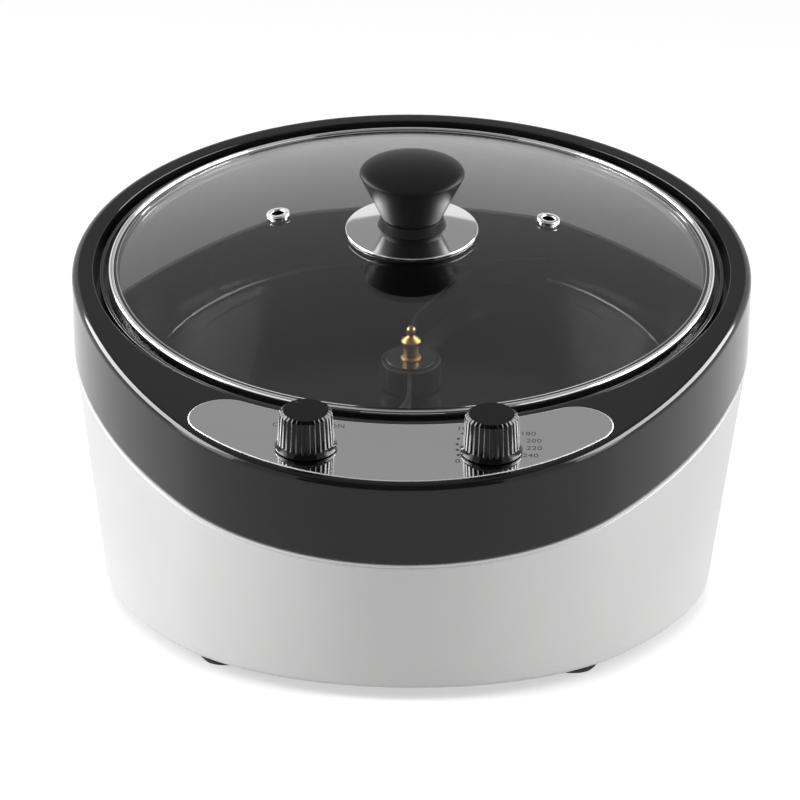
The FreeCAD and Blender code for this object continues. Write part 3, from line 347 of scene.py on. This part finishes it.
def ramp(nodes, links, source, low, high):
    stops = nodes.new("ShaderNodeValToRGB")
    stops.color_ramp.elements[0].position = 0.35
    stops.color_ramp.elements[1].position = 0.65
    stops.color_ramp.elements[0].color = low
    stops.color_ramp.elements[1].color = high
    links.new(source, stops.inputs["Fac"])
    return stops.outputs["Color"]


def spread(nodes, links, source, low, high):
    remap = nodes.new("ShaderNodeMapRange")
    remap.inputs["From Min"].default_value = 0.3
    remap.inputs["From Max"].default_value = 0.7
    remap.inputs["To Min"].default_value = low
    remap.inputs["To Max"].default_value = high
    links.new(source, remap.inputs["Value"])
    return remap.outputs["Result"]


def tint(colour, factor):
    return tuple(c * factor for c in colour) + (1.0,)


def made_finish(name, colour, rough, metal=0.0, grain=900.0, bump=0.0, vary=0.06, rough_vary=0.04,
                stretch=(1, 1, 1), level=0.5):
    """Surface with fine grain in its relief and slow patches in its colour and gloss."""
    material, nodes, links, shader = new_material(name)
    where = object_place(nodes, links, stretch)
    patches = noise(nodes, links, where, PATCH_SCALE)
    links.new(ramp(nodes, links, patches, tint(colour, 1 - vary), tint(colour, 1 + vary)),
              shader.inputs["Base Color"])
    fine = noise(nodes, links, where, grain, 2.0)
    links.new(spread(nodes, links, fine, rough - rough_vary, rough + rough_vary),
              shader.inputs["Roughness"])
    shader.inputs["Metallic"].default_value = metal
    shader.inputs["Specular IOR Level"].default_value = level
    if bump:
        relief = nodes.new("ShaderNodeBump")
        relief.inputs["Strength"].default_value = bump
        relief.inputs["Distance"].default_value = RELIEF_DEPTH
        links.new(fine, relief.inputs["Height"])
        links.new(relief.outputs["Normal"], shader.inputs["Normal"])
    return material


def any_ray(nodes, links, kinds):
    """1 for a ray of any of these kinds, else 0."""
    path = nodes.new("ShaderNodeLightPath")
    value = path.outputs[kinds[0]]
    for kind in kinds[1:]:
        either = nodes.new("ShaderNodeMath")
        either.operation = "MAXIMUM"
        links.new(value, either.inputs[0])
        links.new(path.outputs[kind], either.inputs[1])
        value = either.outputs["Value"]
    return value


def smoked_glass():
    """Grey tempered glass: a clear reflecting face, and a smoky tint that lets light through."""
    material, nodes, links, shader = new_material("smoked_glass")
    where = object_place(nodes, links)
    shade = noise(nodes, links, where, 9.0)
    links.new(ramp(nodes, links, shade, (0.60, 0.60, 0.605, 1), (0.66, 0.66, 0.665, 1)),
              shader.inputs["Base Color"])
    shader.inputs["Transmission Weight"].default_value = 1.0
    shader.inputs["IOR"].default_value = 1.5
    film = noise(nodes, links, where, 60.0)
    links.new(spread(nodes, links, film, 0.0, 0.012), shader.inputs["Roughness"])
    clear = nodes.new("ShaderNodeBsdfTransparent")
    clear.inputs["Color"].default_value = (0.62, 0.62, 0.625, 1)
    through = any_ray(nodes, links, ("Is Shadow Ray", "Is Diffuse Ray"))
    mix = nodes.new("ShaderNodeMixShader")
    links.new(through, mix.inputs["Fac"])
    links.new(shader.outputs["BSDF"], mix.inputs[1])
    links.new(clear.outputs["BSDF"], mix.inputs[2])
    links.new(mix.outputs["Shader"], nodes["Material Output"].inputs["Surface"])
    return material


FINISHES = {
    "white_plastic": made_finish("white_moulding", (0.83, 0.83, 0.825), 0.36, grain=1600,
                                 bump=0.10, vary=0.012),
    "black_gloss": made_finish("black_gloss_moulding", (0.010, 0.010, 0.0105), 0.08, grain=420,
                               vary=0.10, rough_vary=0.015, level=0.3),
    "black_plastic": made_finish("black_moulding", (0.030, 0.030, 0.031), 0.48, grain=1400,
                                 bump=0.25),
    "panel_steel": made_finish("panel_steel", (0.75, 0.75, 0.755), 0.08, metal=1.0, grain=900,
                               vary=0.015, rough_vary=0.02, stretch=(0.05, 1, 1)),
    "steel": made_finish("satin_steel", (0.55, 0.55, 0.56), 0.30, metal=1.0, grain=1200, bump=0.08),
    "bright_steel": made_finish("bright_steel", (0.80, 0.80, 0.80), 0.07, metal=1.0, grain=700,
                                vary=0.02, rough_vary=0.02),
    "aluminium": made_finish("aluminium", (0.72, 0.72, 0.73), 0.34, metal=1.0, grain=1300,
                             bump=0.08),
    "brass": made_finish("brass", (0.68, 0.43, 0.17), 0.34, metal=1.0, grain=1200, vary=0.04),
    "rubber": made_finish("rubber", (0.022, 0.022, 0.022), 0.72, grain=1500, bump=0.3),
    "silicone": made_finish("silicone", (0.10, 0.10, 0.10), 0.6, grain=1200, bump=0.1),
    "copper": made_finish("copper", (0.72, 0.36, 0.20), 0.28, metal=1.0, grain=1200, bump=0.06),
    "ceramic": made_finish("ceramic", (0.80, 0.78, 0.72), 0.6, grain=1200, bump=0.2),
    "pan_coating": made_finish("pan_coating", (0.018, 0.018, 0.0185), 0.14, grain=240, vary=0.05,
                               rough_vary=0.006),
    "smoked_glass": smoked_glass(),
}
SATIN_BLACK = made_finish("satin_black_moulding", (0.011, 0.011, 0.0115), 0.34, grain=900,
                          bump=0.02, rough_vary=0.02, level=0.1)
KNOB_BLACK = made_finish("black_gloss_knob", (0.006, 0.006, 0.0063), 0.09, grain=420, vary=0.10,
                         rough_vary=0.015, level=0.2)
DARK_STEEL = made_finish("darkened_steel", (0.12, 0.12, 0.124), 0.30, metal=1.0, grain=1100,
                         vary=0.03, rough_vary=0.01)
# Near-black paint for the lid rim's shallow trough: painted shade where the step looks dark.
RIM_TROUGH_SHADE_BLACK = made_finish("rim_trough_painted_shade", (0.008, 0.008, 0.008), 0.55, grain=1200, bump=0.05)
BRIGHT_EDGE = made_finish("burnished_edge", (0.50, 0.50, 0.50), 0.50, metal=1.0, grain=1500,
                          bump=0.03, vary=0.02)
INK = made_finish("panel_ink", (0.03, 0.03, 0.031), 0.45, grain=2500, bump=0.05)


# ---- Housing and bezel ------------------------------------------------------------------------

def lower_housing():
    bm = bmesh.new()
    foot = egg(bm, BASE_EGG, 0, BASE_LEVEL, BASE_CENTRE_Y)
    seam = egg(bm, DECK_EGG, 0, HOUSING_TOP, place=DECK_MM)
    seam_inner = egg(bm, DECK_EGG, HOUSING_WALL, HOUSING_TOP, place=DECK_MM)
    foot_inner = egg(bm, BASE_EGG, HOUSING_WALL, BASE_LEVEL, BASE_CENTRE_Y)
    shadow_groove = [egg(bm, DECK_EGG, depth + WALL_DRAW_IN * drop, HOUSING_TOP - drop,
                         -WALL_SLIP * drop, DECK_MM)
                     for depth, drop in ((0, 1.7), (GROOVE_DEPTH, 1.45), (0, 1.1))]
    bridge(bm, [foot] + shadow_groove + [seam, seam_inner, foot_inner])
    ease(bm, foot, 2.5, 6)
    ease(bm, seam, 0.5, 2)
    slope = math.tan(REAR_DRAFT)
    wall_y = BASE_CENTRE_Y + BASE_EGG[0] + (GLAND_HEIGHT - BASE_LEVEL) * slope
    outward = Vector((0, 1, -slope)).to_track_quat("Z", "X").to_matrix().to_4x4()
    gland = Matrix.Translation((0, wall_y, GLAND_HEIGHT)) @ outward
    bm = cut(bm, [rod(GLAND_HOLE_R, -9, 6, gland)])
    finish_piece(bm, "housing_shell", "base", "lower_housing",
                 FINISHES["white_plastic"], ON_TABLE)


def panel_outline(bm, spare, level):
    """Crescent ring with round ends. Returns its edges."""
    inner, outer, end = PANEL_INNER_R - spare, PANEL_OUTER_R + spare, PANEL_END_R + spare
    gap = FRONT_CENTRE
    end_y = ((inner + end) ** 2 - (outer - end) ** 2 + gap ** 2) / (2 * gap)
    end_x = math.sqrt((inner + end) ** 2 - end_y ** 2)
    inner_half = math.degrees(math.atan2(end_x, end_y))
    outer_half = math.degrees(math.atan2(end_x, end_y - gap))
    end_turn = 180.0 + inner_half - outer_half
    corner = math.radians(inner_half)
    arcs = [((0, 0), 2 * inner_half, 64), ((end_x, -end_y), -end_turn, 28),
            ((0, -gap), -2 * outer_half, 72), ((-end_x, -end_y), -end_turn, 28)]
    return loop_of_arcs(bm, (-inner * math.sin(corner), -inner * math.cos(corner), level), arcs)


def panel_block(spare, low, high):
    bm = bmesh.new()
    edges = panel_outline(bm, spare, low)
    bmesh.ops.contextual_create(bm, geom=edges)
    made = bmesh.ops.extrude_face_region(bm, geom=bm.faces[:], use_keep_orig=True)
    top = [g for g in made["geom"] if isinstance(g, bmesh.types.BMVert)]
    bmesh.ops.translate(bm, verts=top, vec=(0, 0, high - low))
    bmesh.ops.recalc_face_normals(bm, faces=bm.faces)
    return bm


def top_bezel():
    bm = bmesh.new()
    rings = [egg(bm, DECK_EGG, 0, SEAM), egg(bm, DECK_EGG, 0, DECK_TOP),
             circle(bm, OPENING_R, DECK_TOP), circle(bm, OPENING_R, LEDGE_TOP),
             circle(bm, LEDGE_BORE_R, LEDGE_TOP), circle(bm, LEDGE_BORE_R, LEDGE_UNDER),
             circle(bm, SKIRT_R, LEDGE_UNDER), circle(bm, SKIRT_R, DECK_UNDER),
             egg(bm, DECK_EGG, BAND_WALL, DECK_UNDER), egg(bm, DECK_EGG, BAND_WALL, SEAM)]
    bridge(bm, rings)
    ease(bm, rings[0], 0.8, 3)
    outer = [e for e in bm.edges
             if all(abs(v.co.z - DECK_TOP) < 0.01 and v.co.xy.length > OPENING_R + 2
                    for v in e.verts)]
    ease(bm, outer, 3.2, 8)
    ease(bm, ring_of(bm, OPENING_R, DECK_TOP), 0.6, 3)
    bm = cut(bm, [panel_block(PANEL_CLEARANCE, PANEL_UNDER, DECK_TOP + 1)])
    finish_piece(bm, "bezel_shell", "base", "top_bezel", FINISHES["black_gloss"])


def control_panel():
    """Flat plate with a narrow burnished bevel all round."""
    bm = panel_block(0, PANEL_UNDER, DECK_TOP)
    top = [f for f in bm.faces if all(abs(v.co.z - DECK_TOP) < 0.01 for v in f.verts)]
    bevel = bmesh.ops.inset_region(bm, faces=top, thickness=PANEL_BEVEL,
                                   depth=PANEL_TOP - DECK_TOP, use_even_offset=True)
    for face in bevel["faces"]:
        face.material_index = 1
    bm = cut(bm, [rod(PANEL_HOLE_R, -1, 3, Matrix.Translation((x, KNOB_Y, 0)))
                  for x in (-KNOB_X, KNOB_X)])
    finish_piece(bm, "panel_plate", "base", "control_panel",
                 FINISHES["panel_steel"], crease=8, second=BRIGHT_EDGE)


# ---- Controls ---------------------------------------------------------------------------------

def fluted_knob(name, body, node, x, angle):
    """Flared skirt, fluted tapering grip and a chamfered top with a pointer notch."""
    steps = FLUTES * FLUTE_STEPS
    bm = bmesh.new()
    trace(bm, [(KNOB_FOOT_R, KNOB_FOOT), (12.1, KNOB_FOOT), (12.5, 2.1), (12.5, 2.5), (12.2, 2.9),
               (11.7, 3.5), (11.4, 4.2), GRIP_FOOT, GRIP_SHOULDER, (GRIP_TOP_R, KNOB_TOP)])
    bmesh.ops.spin(bm, geom=bm.verts[:] + bm.edges[:], cent=(0, 0, 0), axis=(0, 0, 1),
                   angle=math.tau, steps=steps, use_merge=True)
    bmesh.ops.remove_doubles(bm, verts=bm.verts, dist=1e-3)
    for radius, level in (GRIP_FOOT, GRIP_SHOULDER):
        for share, depth in FLUTE_DEPTHS.items():
            groove = []
            for vert in bm.verts:
                if abs(vert.co.z - level) < 0.02 and abs(vert.co.xy.length - radius) < 0.02:
                    turn = math.atan2(vert.co.y, vert.co.x) / math.tau * steps
                    if round(turn) % FLUTE_STEPS == share:
                        groove.append(vert)
            factor = 1 - depth / radius
            bmesh.ops.scale(bm, verts=groove, vec=(factor, factor, 1))
    bmesh.ops.contextual_create(bm, geom=ring_of(bm, GRIP_TOP_R, KNOB_TOP))
    made = bmesh.ops.extrude_edge_only(bm, edges=ring_of(bm, KNOB_FOOT_R, KNOB_FOOT))
    verts = [g for g in made["geom"] if isinstance(g, bmesh.types.BMVert)]
    bmesh.ops.translate(bm, verts=verts, vec=(0, 0, KNOB_RECESS))
    recess_roof = [g for g in made["geom"] if isinstance(g, bmesh.types.BMEdge)
                   and all(v.co.z > KNOB_FOOT + KNOB_RECESS - 0.1 for v in g.verts)]
    bmesh.ops.contextual_create(bm, geom=recess_roof)
    notch = bmesh.new()
    bmesh.ops.create_cube(notch, size=1, matrix=Matrix.Translation((0, 8.4, KNOB_TOP)) @
                          Matrix.Diagonal((1.1, 3.4, 1.3, 1)))
    bm = cut(bm, [notch, rod(SPINDLE_R, 0, SPINDLE_END)])
    turn = Matrix.Rotation(math.radians(angle), 4, "Z")
    place = ON_DECK @ Matrix.Translation((x, KNOB_Y, 0)) @ turn
    finish_piece(bm, name, body, node, KNOB_BLACK, place, crease=24)


# ---- Lid --------------------------------------------------------------------------------------

def dome_height(radius, depth=0.0):
    return GLASS_APEX - GLASS_R + math.sqrt((GLASS_R - depth) ** 2 - radius ** 2)


def vent_place(x):
    """Square to the glass at a vent."""
    outward = Vector((x, VENT_Y, math.sqrt(GLASS_R ** 2 - x ** 2 - VENT_Y ** 2))).normalized()
    centre = Vector((0, 0, GLASS_APEX - GLASS_R)) + outward * GLASS_R
    return Matrix.Translation(centre) @ outward.to_track_quat("Z", "Y").to_matrix().to_4x4()


def dome_turn(radius):
    """Turn in degrees of a dome of that radius, from its hole to its edge."""
    return math.degrees(math.asin(GLASS_EDGE_R / radius) - math.asin(GLASS_HOLE_R / radius))


def lid_glass():
    centre = GLASS_APEX - GLASS_R
    bm = turned([(GLASS_HOLE_R, dome_height(GLASS_HOLE_R)),
                 (0, centre, -dome_turn(GLASS_R), DOME_STEPS),
                 (GLASS_EDGE_R, dome_height(GLASS_EDGE_R, GLASS_THICK)),
                 (0, centre, dome_turn(GLASS_R - GLASS_THICK), DOME_STEPS)],
                eased=[(GLASS_EDGE_R, dome_height(GLASS_EDGE_R), 0.5)], steps=FINE_STEPS)
    bm = cut(bm, [rod(VENT_HOLE_R, -9, 9, vent_place(x)) for x in (-VENT_X, VENT_X)])
    finish_piece(bm, "dome_glass", "lid", "lid_glass", FINISHES["smoked_glass"],
                 flatten=False)


def vent_eyelet(name, node, x):
    bore, neck, flange = 2.7, 3.9, 5.1
    foot, lower_flange, upper_flange, top = -4.45, -3.65, 0.05, 0.85
    bm = turned([(bore, foot), (flange, foot), (flange, lower_flange), (neck, lower_flange),
                 (neck, upper_flange), (flange, upper_flange), (flange, top), (bore, top)],
                eased=[(flange, top, 0.5), (bore, top, 0.6)], steps=48)
    finish_piece(bm, name, "lid", node, FINISHES["bright_steel"],
                 ON_DECK @ vent_place(x))


def lid_rim():
    """Rolled channel: an outer and an inner roll, then a trough painted near-black as painted
    shade, and a thin lip on the glass.
    """
    outer_r, channel_r, foot_r, lip_r, foot = 130.0, 128.9, 126.6, 126.0, -4.6
    under_lip = dome_height(GLASS_EDGE_R, GLASS_THICK) - 0.05
    over_lip = dome_height(lip_r) + 0.05
    bm = turned([(foot_r, foot), (outer_r, foot), (outer_r, 0.25), (channel_r, 0.25, 115, 8),
                 (128.425, 1.126), (128.15, 0.65, 109.5, 7), (126.55, 0.75), (126.5, 1.0),
                 (lip_r, 0.95), (lip_r, over_lip), (channel_r, over_lip), (channel_r, under_lip),
                 (foot_r, under_lip)],
                eased=[(outer_r, foot, 0.4)], steps=FINE_STEPS)
    # The trough's faces between the inner roll and the lip get near-black paint, painted shade for
    # the dark step.
    for face in bm.faces:
        middle = face.calc_center_median()
        if 126.4 < middle.xy.length < 127.5 and 0.7 < middle.z < 0.95:
            face.material_index = 1
    finish_piece(bm, "rim_channel", "lid", "lid_rim", FINISHES["bright_steel"],
                 second=RIM_TROUGH_SHADE_BLACK)


def knob_dish():
    """Thin dish that droops outwards from the knob's foot."""
    edge_r, edge_over, edge_under, over, under = 28.4, 17.56, 16.66, 19.3, 18.4
    bm = turned([(SCREW_BORE_R, under), (13.0, under), (3.75, -132.487, -5.877, 8),
                 (edge_r, edge_over), (3.75, -131.587, 5.877, 8), (SCREW_BORE_R, over)],
                eased=[(edge_r, edge_over, 0.35), (edge_r, edge_under, 0.25)], steps=128)
    finish_piece(bm, "dish_plate", "lid", "knob_dish", FINISHES["panel_steel"])


def lid_knob():
    """Collar, then a grip that widens to a crown squashed from a round arc."""
    foot, joint, grip_low, roof, brim = 19.3, 23.5, 23.75, 39.6, 43.75
    collar_r, neck_r, grip_r, top_r, crown_rise = 14.8, 13.3, 13.0, 22.4, 4.1
    bm = turned([(SCREW_BORE_R, foot), (collar_r, foot), (neck_r, joint), (SCREW_BORE_R, joint)],
                eased=[(collar_r, foot, 0.3), (neck_r, joint, 0.25)], steps=128)
    finish_piece(bm, "knob_foot", "lid", "knob_collar", SATIN_BLACK)
    bm = turned([(SCREW_BORE_R, joint), (11.2, joint), (11.2, grip_low), (grip_r, grip_low),
                 (top_r, brim), (0, brim, 90, 30), (0, roof), (SCREW_BORE_R, roof)],
                eased=[(grip_r, grip_low, 0.25)], steps=ROUND_STEPS)
    crown = [v for v in bm.verts if v.co.z > brim + 0.001]
    bmesh.ops.scale(bm, verts=crown, vec=(1, 1, crown_rise / top_r),
                    space=Matrix.Translation((0, 0, -brim)))
    finish_piece(bm, "knob_grip", "lid", "lid_knob", SATIN_BLACK, crease=40)


# ---- Pan and stirrer --------------------------------------------------------------------------

def roasting_pan():
    """Stepped floor with a centre sleeve, a drafted wall, and a lip that hangs on the ledge."""
    floor, well, under, shelf, lip_top = -60, -60.8, -63.8, -5.6, -1.2
    sleeve_bore, sleeve_r, sleeve_top = 6.2, 9.4, -51.5
    lip_inner, lip_outer = 132.2, 133.8
    step_top, step_foot, corner, wall_top = (104, floor), (106, well), (115.7, well), (124, shelf)
    bm = turned([(sleeve_bore, under), (sleeve_bore, sleeve_top), (sleeve_r, sleeve_top),
                 (sleeve_r, floor), step_top, step_foot, corner, wall_top, (lip_inner, shelf),
                 (lip_inner, lip_top), (lip_outer, lip_top), (lip_outer, LEDGE_TOP),
                 (126.6, LEDGE_TOP), (118.3, floor), (113.1, under)],
                eased=[(*corner, 2.0), (*wall_top, 1.0), (*step_top, 0.5), (*step_foot, 0.5),
                       (lip_inner, lip_top, 0.4), (lip_outer, lip_top, 0.4),
                       (sleeve_r, floor, 0.6)], steps=FINE_STEPS)
    finish_piece(bm, "pan_bowl", "base", "roasting_pan", FINISHES["pan_coating"])


def stirrer_pieces():
    """Hub cap, then the washer on it, then the finger nut with its round tip."""
    cap_r, cap_bore, spindle_hole, cap_foot, cap_roof, cap_top = 13, 10.4, 4.05, -59.2, -50.2, -47.8
    bm = turned([(cap_bore, cap_foot), (cap_r, cap_foot), (cap_r, cap_top),
                 (spindle_hole, cap_top), (spindle_hole, cap_roof), (cap_bore, cap_roof)],
                eased=[(cap_r, cap_top, 0.5)], steps=96)
    finish_piece(bm, "hub_cap", "stirrer", "stirrer_hub",
                 FINISHES["black_plastic"])
    disc_r, disc_top = 10.6, -46.9
    bm = turned([(SCREW_BORE_R, cap_top), (disc_r, cap_top), (disc_r, disc_top),
                 (SCREW_BORE_R, disc_top)], eased=[(disc_r, disc_top, 0.25)], steps=96)
    finish_piece(bm, "hub_disc", "stirrer", "hub_washer", DARK_STEEL)
    nut_r, waist_r, tip_r, bore, low = 4.4, 3.3, 1.4, 2.53, disc_top
    bm = turned([(bore, low), (nut_r, low), (nut_r, low + 0.7), (waist_r, low + 1.1),
                 (waist_r, low + 6.6), (nut_r, low + 7.6), (nut_r, low + 8.6), (tip_r, low + 10.9),
                 (tip_r, low + 11.175), (0, low + 13, 142.5, 14), (0, low + 7.75),
                 (bore, low + 7.75)],
                eased=[(nut_r, low + 0.7, 0.2), (nut_r, low + 8.6, 0.3), (nut_r, low, 0.15)],
                steps=64)
    finish_piece(bm, "finger_nut", "stirrer", "spindle_nut", FINISHES["brass"])


# ---- Marks on the panel -----------------------------------------------------------------------

def printed(bm, name, place):
    """Places and dresses print, which stands for no solid."""
    bmesh.ops.transform(bm, verts=bm.verts, matrix=place)
    piece = to_object(bm, name)
    piece.data.materials.append(INK)
    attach(piece, "base")


def mark(name, words, x, y):
    """Raised print on the panel, centred on a point."""
    curve = bpy.data.curves.new(name, "FONT")
    curve.body = words
    curve.size = FONT_SIZE
    curve.align_x = "CENTER"
    curve.align_y = "CENTER"
    curve.extrude = PRINT_THICK / 2
    curve.space_character = 1.05
    source = bpy.data.objects.new(name + "_source", curve)
    bpy.context.scene.collection.objects.link(source)
    bpy.context.view_layer.update()
    mesh = shown(source)
    bpy.data.objects.remove(source)
    bm = bmesh.new()
    bm.from_mesh(mesh)
    bmesh.ops.remove_doubles(bm, verts=bm.verts, dist=1e-4)
    printed(bm, name, ON_DECK @ Matrix.Translation((x, KNOB_Y + y, PANEL_TOP + PRINT_MIDDLE)))


def dot(name, x, y):
    printed(rod(0.75, 0, PRINT_THICK, Matrix.Translation((x, KNOB_Y + y, PANEL_TOP)), 20),
            name, ON_DECK)


def panel_marks():
    mark("mark_off", "OFF", -KNOB_X - 10.8, 17.2)
    mark("mark_on", "ON", -KNOB_X + 11.6, 17.0)
    scale = {"0": (-13.2, -8.6), "100": (-11.0, 17.1), "180": (14.6, 14.1), "200": (17.0, 8.5),
             "220": (17.2, 2.7), "240": (15.7, -3.1)}
    for words, (x, y) in scale.items():
        mark("heat_" + words, words, KNOB_X + x, y)
    dots = [(-13.0, -3.9), (-13.5, 0.2), (-13.7, 4.6), (-13.3, 9.0), (-11.6, 13.2)]
    for i, (x, y) in enumerate(dots):
        dot("heat_dot_" + str(i + 1), KNOB_X + x, y)


# ---- The rest of the solids -------------------------------------------------------------------

def dress_solids():
    """Gives each remaining solid its finish, with smooth faces between its sharp edges."""
    slots = {row["node"]: row["material_slot"] for row in frame["record"]["subparts"]}
    for name, node in frame["nodes"].items():
        arm = name.startswith("stirrer_arm")
        node.data.materials.clear()
        node.data.materials.append(DARK_STEEL if arm else FINISHES[slots[name]])
        weld = node.modifiers.new("weld", "WELD")
        weld.merge_threshold = 0.00001
        split = node.modifiers.new("edges", "EDGE_SPLIT")
        split.split_angle = math.radians(30)


# ---- Studio -----------------------------------------------------------------------------------

def stage_plane(name, width, length, place, material):
    bm = bmesh.new()
    bmesh.ops.create_grid(bm, x_segments=1, y_segments=1, size=0.5,
                          matrix=place @ Matrix.Diagonal((width, length, 1, 1)))
    plane = to_object(bm, name)
    plane.data.materials.append(material)
    return plane


def pale_when_seen(nodes, links, strength):
    """One strength for light that falls on the object, another for what is seen or mirrored."""
    seen = any_ray(nodes, links, ("Is Camera Ray", "Is Glossy Ray", "Is Transmission Ray"))
    level = nodes.new("ShaderNodeMapRange")
    level.inputs["To Min"].default_value = strength[0]
    level.inputs["To Max"].default_value = strength[1]
    links.new(seen, level.inputs["Value"])
    return level.outputs["Result"]


def floor_material():
    material, nodes, links, shader = new_material("studio_floor")
    shader.inputs["Base Color"].default_value = (0.82, 0.82, 0.82, 1)
    shader.inputs["Roughness"].default_value = 0.9
    shader.inputs["Specular IOR Level"].default_value = 0.0
    glow = nodes.new("ShaderNodeEmission")
    links.new(pale_when_seen(nodes, links, (0.0, FLOOR_LIFT)), glow.inputs["Strength"])
    add = nodes.new("ShaderNodeAddShader")
    links.new(shader.outputs["BSDF"], add.inputs[0])
    links.new(glow.outputs["Emission"], add.inputs[1])
    links.new(add.outputs["Shader"], nodes["Material Output"].inputs["Surface"])
    return material


def card_material(name, strength):
    material = bpy.data.materials.new(name)
    material.use_nodes = True
    nodes, links = material.node_tree.nodes, material.node_tree.links
    nodes.remove(nodes["Principled BSDF"])
    glow = nodes.new("ShaderNodeEmission")
    glow.inputs["Strength"].default_value = strength
    links.new(glow.outputs["Emission"], nodes["Material Output"].inputs["Surface"])
    return material


def facing(spot, aim):
    """Place of a plane at one point that looks towards another."""
    turn = (Vector(aim) - Vector(spot)).to_track_quat("Z", "Y").to_matrix().to_4x4()
    return Matrix.Translation(spot) @ turn


def card(name, width, length, place, strength):
    """Card that shows in reflections only."""
    plane = stage_plane(name, width, length, place, card_material(name + "_glow", strength))
    plane.visible_camera = False
    plane.visible_diffuse = False
    plane.visible_shadow = False
    plane.visible_volume_scatter = False
    return plane


def clip_corner(plane, point, outward):
    bm = bmesh.new()
    bm.from_mesh(plane.data)
    bmesh.ops.bisect_plane(bm, geom=bm.verts[:] + bm.edges[:] + bm.faces[:], plane_co=point,
                           plane_no=outward, clear_outer=True)
    bm.to_mesh(plane.data)
    bm.free()


def softbox(name, spot, width, height, power):
    data = bpy.data.lights.new(name, "AREA")
    data.shape = "RECTANGLE"
    data.size = width
    data.size_y = height
    data.energy = power
    lamp = bpy.data.objects.new(name, data)
    bpy.context.scene.collection.objects.link(lamp)
    lamp.location = spot
    lamp.rotation_euler = (Vector(LAMP_AIM) - Vector(spot)).to_track_quat("-Z", "Y").to_euler()


def studio():
    stage_plane("studio_floor", 14, 14, Matrix.Identity(4), floor_material())
    ceiling = card("studio_ceiling", 1.7, 1.9, Matrix.Translation((0, 0.45, CEILING_LEVEL)), 0.36)
    card("ceiling_flag", 1.7, 2.5, Matrix.Translation((0, -1.75, CEILING_LEVEL)), 0.03)
    clip_corner(ceiling, (-0.31, 1.40, CEILING_LEVEL), (-0.72, 0.69, 0))
    clip_corner(ceiling, (0.27, 1.40, CEILING_LEVEL), (0.66, 0.75, 0))
    card("left_card", 1.45, 0.8, facing((-1.29, 0.27, 1.03), CARD_AIM), CARD_GLOW)
    card("right_card", 1.45, 0.8, facing((1.29, 0.27, 1.03), CARD_AIM), CARD_GLOW)
    flag = card("front_flag", 4.4, 2.6, facing((0, -2.8, 1.0), (0, 0, 1.0)), 0.05)
    flag.visible_diffuse = True
    flag.visible_shadow = True
    world = bpy.data.worlds.new("studio")
    bpy.context.scene.world = world
    world.use_nodes = True
    nodes, links = world.node_tree.nodes, world.node_tree.links
    background = nodes["Background"]
    background.inputs["Color"].default_value = (1, 1, 1, 1)
    links.new(pale_when_seen(nodes, links, (AMBIENT, 1.0)), background.inputs["Strength"])
    softbox("left_softbox", (-1.8, -0.35, 0.8), 1.0, 1.4, 21)
    softbox("right_softbox", (1.8, -0.35, 0.8), 0.8, 1.4, 14.5)


def camera():
    azimuth, elevation, roll = (math.radians(angle) for angle in CAMERA_ANGLES)
    back = Vector((math.sin(azimuth) * math.cos(elevation),
                   -math.cos(azimuth) * math.cos(elevation), math.sin(elevation)))
    level = Vector((math.cos(azimuth), math.sin(azimuth), 0))
    upright = back.cross(level)
    right = level * math.cos(roll) + upright * math.sin(roll)
    up = upright * math.cos(roll) - level * math.sin(roll)
    data = bpy.data.cameras.new("camera")
    data.sensor_width = 36
    data.lens = CAMERA_LENS
    data.clip_start = 0.05
    data.clip_end = 50
    view = bpy.data.objects.new("camera", data)
    bpy.context.scene.collection.objects.link(view)
    turn = Matrix((right, up, back)).transposed().to_4x4()
    view.matrix_world = Matrix.Translation(CAMERA_AIM + back * CAMERA_REACH) @ turn
    bpy.context.scene.camera = view


dress_solids()
lower_housing()
top_bezel()
control_panel()
fluted_knob("stir_control_knob", "stir_control", "stir_knob", -KNOB_X, OFF_ANGLE)
fluted_knob("heat_control_knob", "heat_control", "heat_knob", KNOB_X, 0.0)
lid_glass()
vent_eyelet("eyelet_left", "vent_eyelet_left", -VENT_X)
vent_eyelet("eyelet_right", "vent_eyelet_right", VENT_X)
lid_rim()
knob_dish()
lid_knob()
roasting_pan()
stirrer_pieces()
panel_marks()
studio()
camera()
bpy.context.scene.view_settings.view_transform = "Standard"
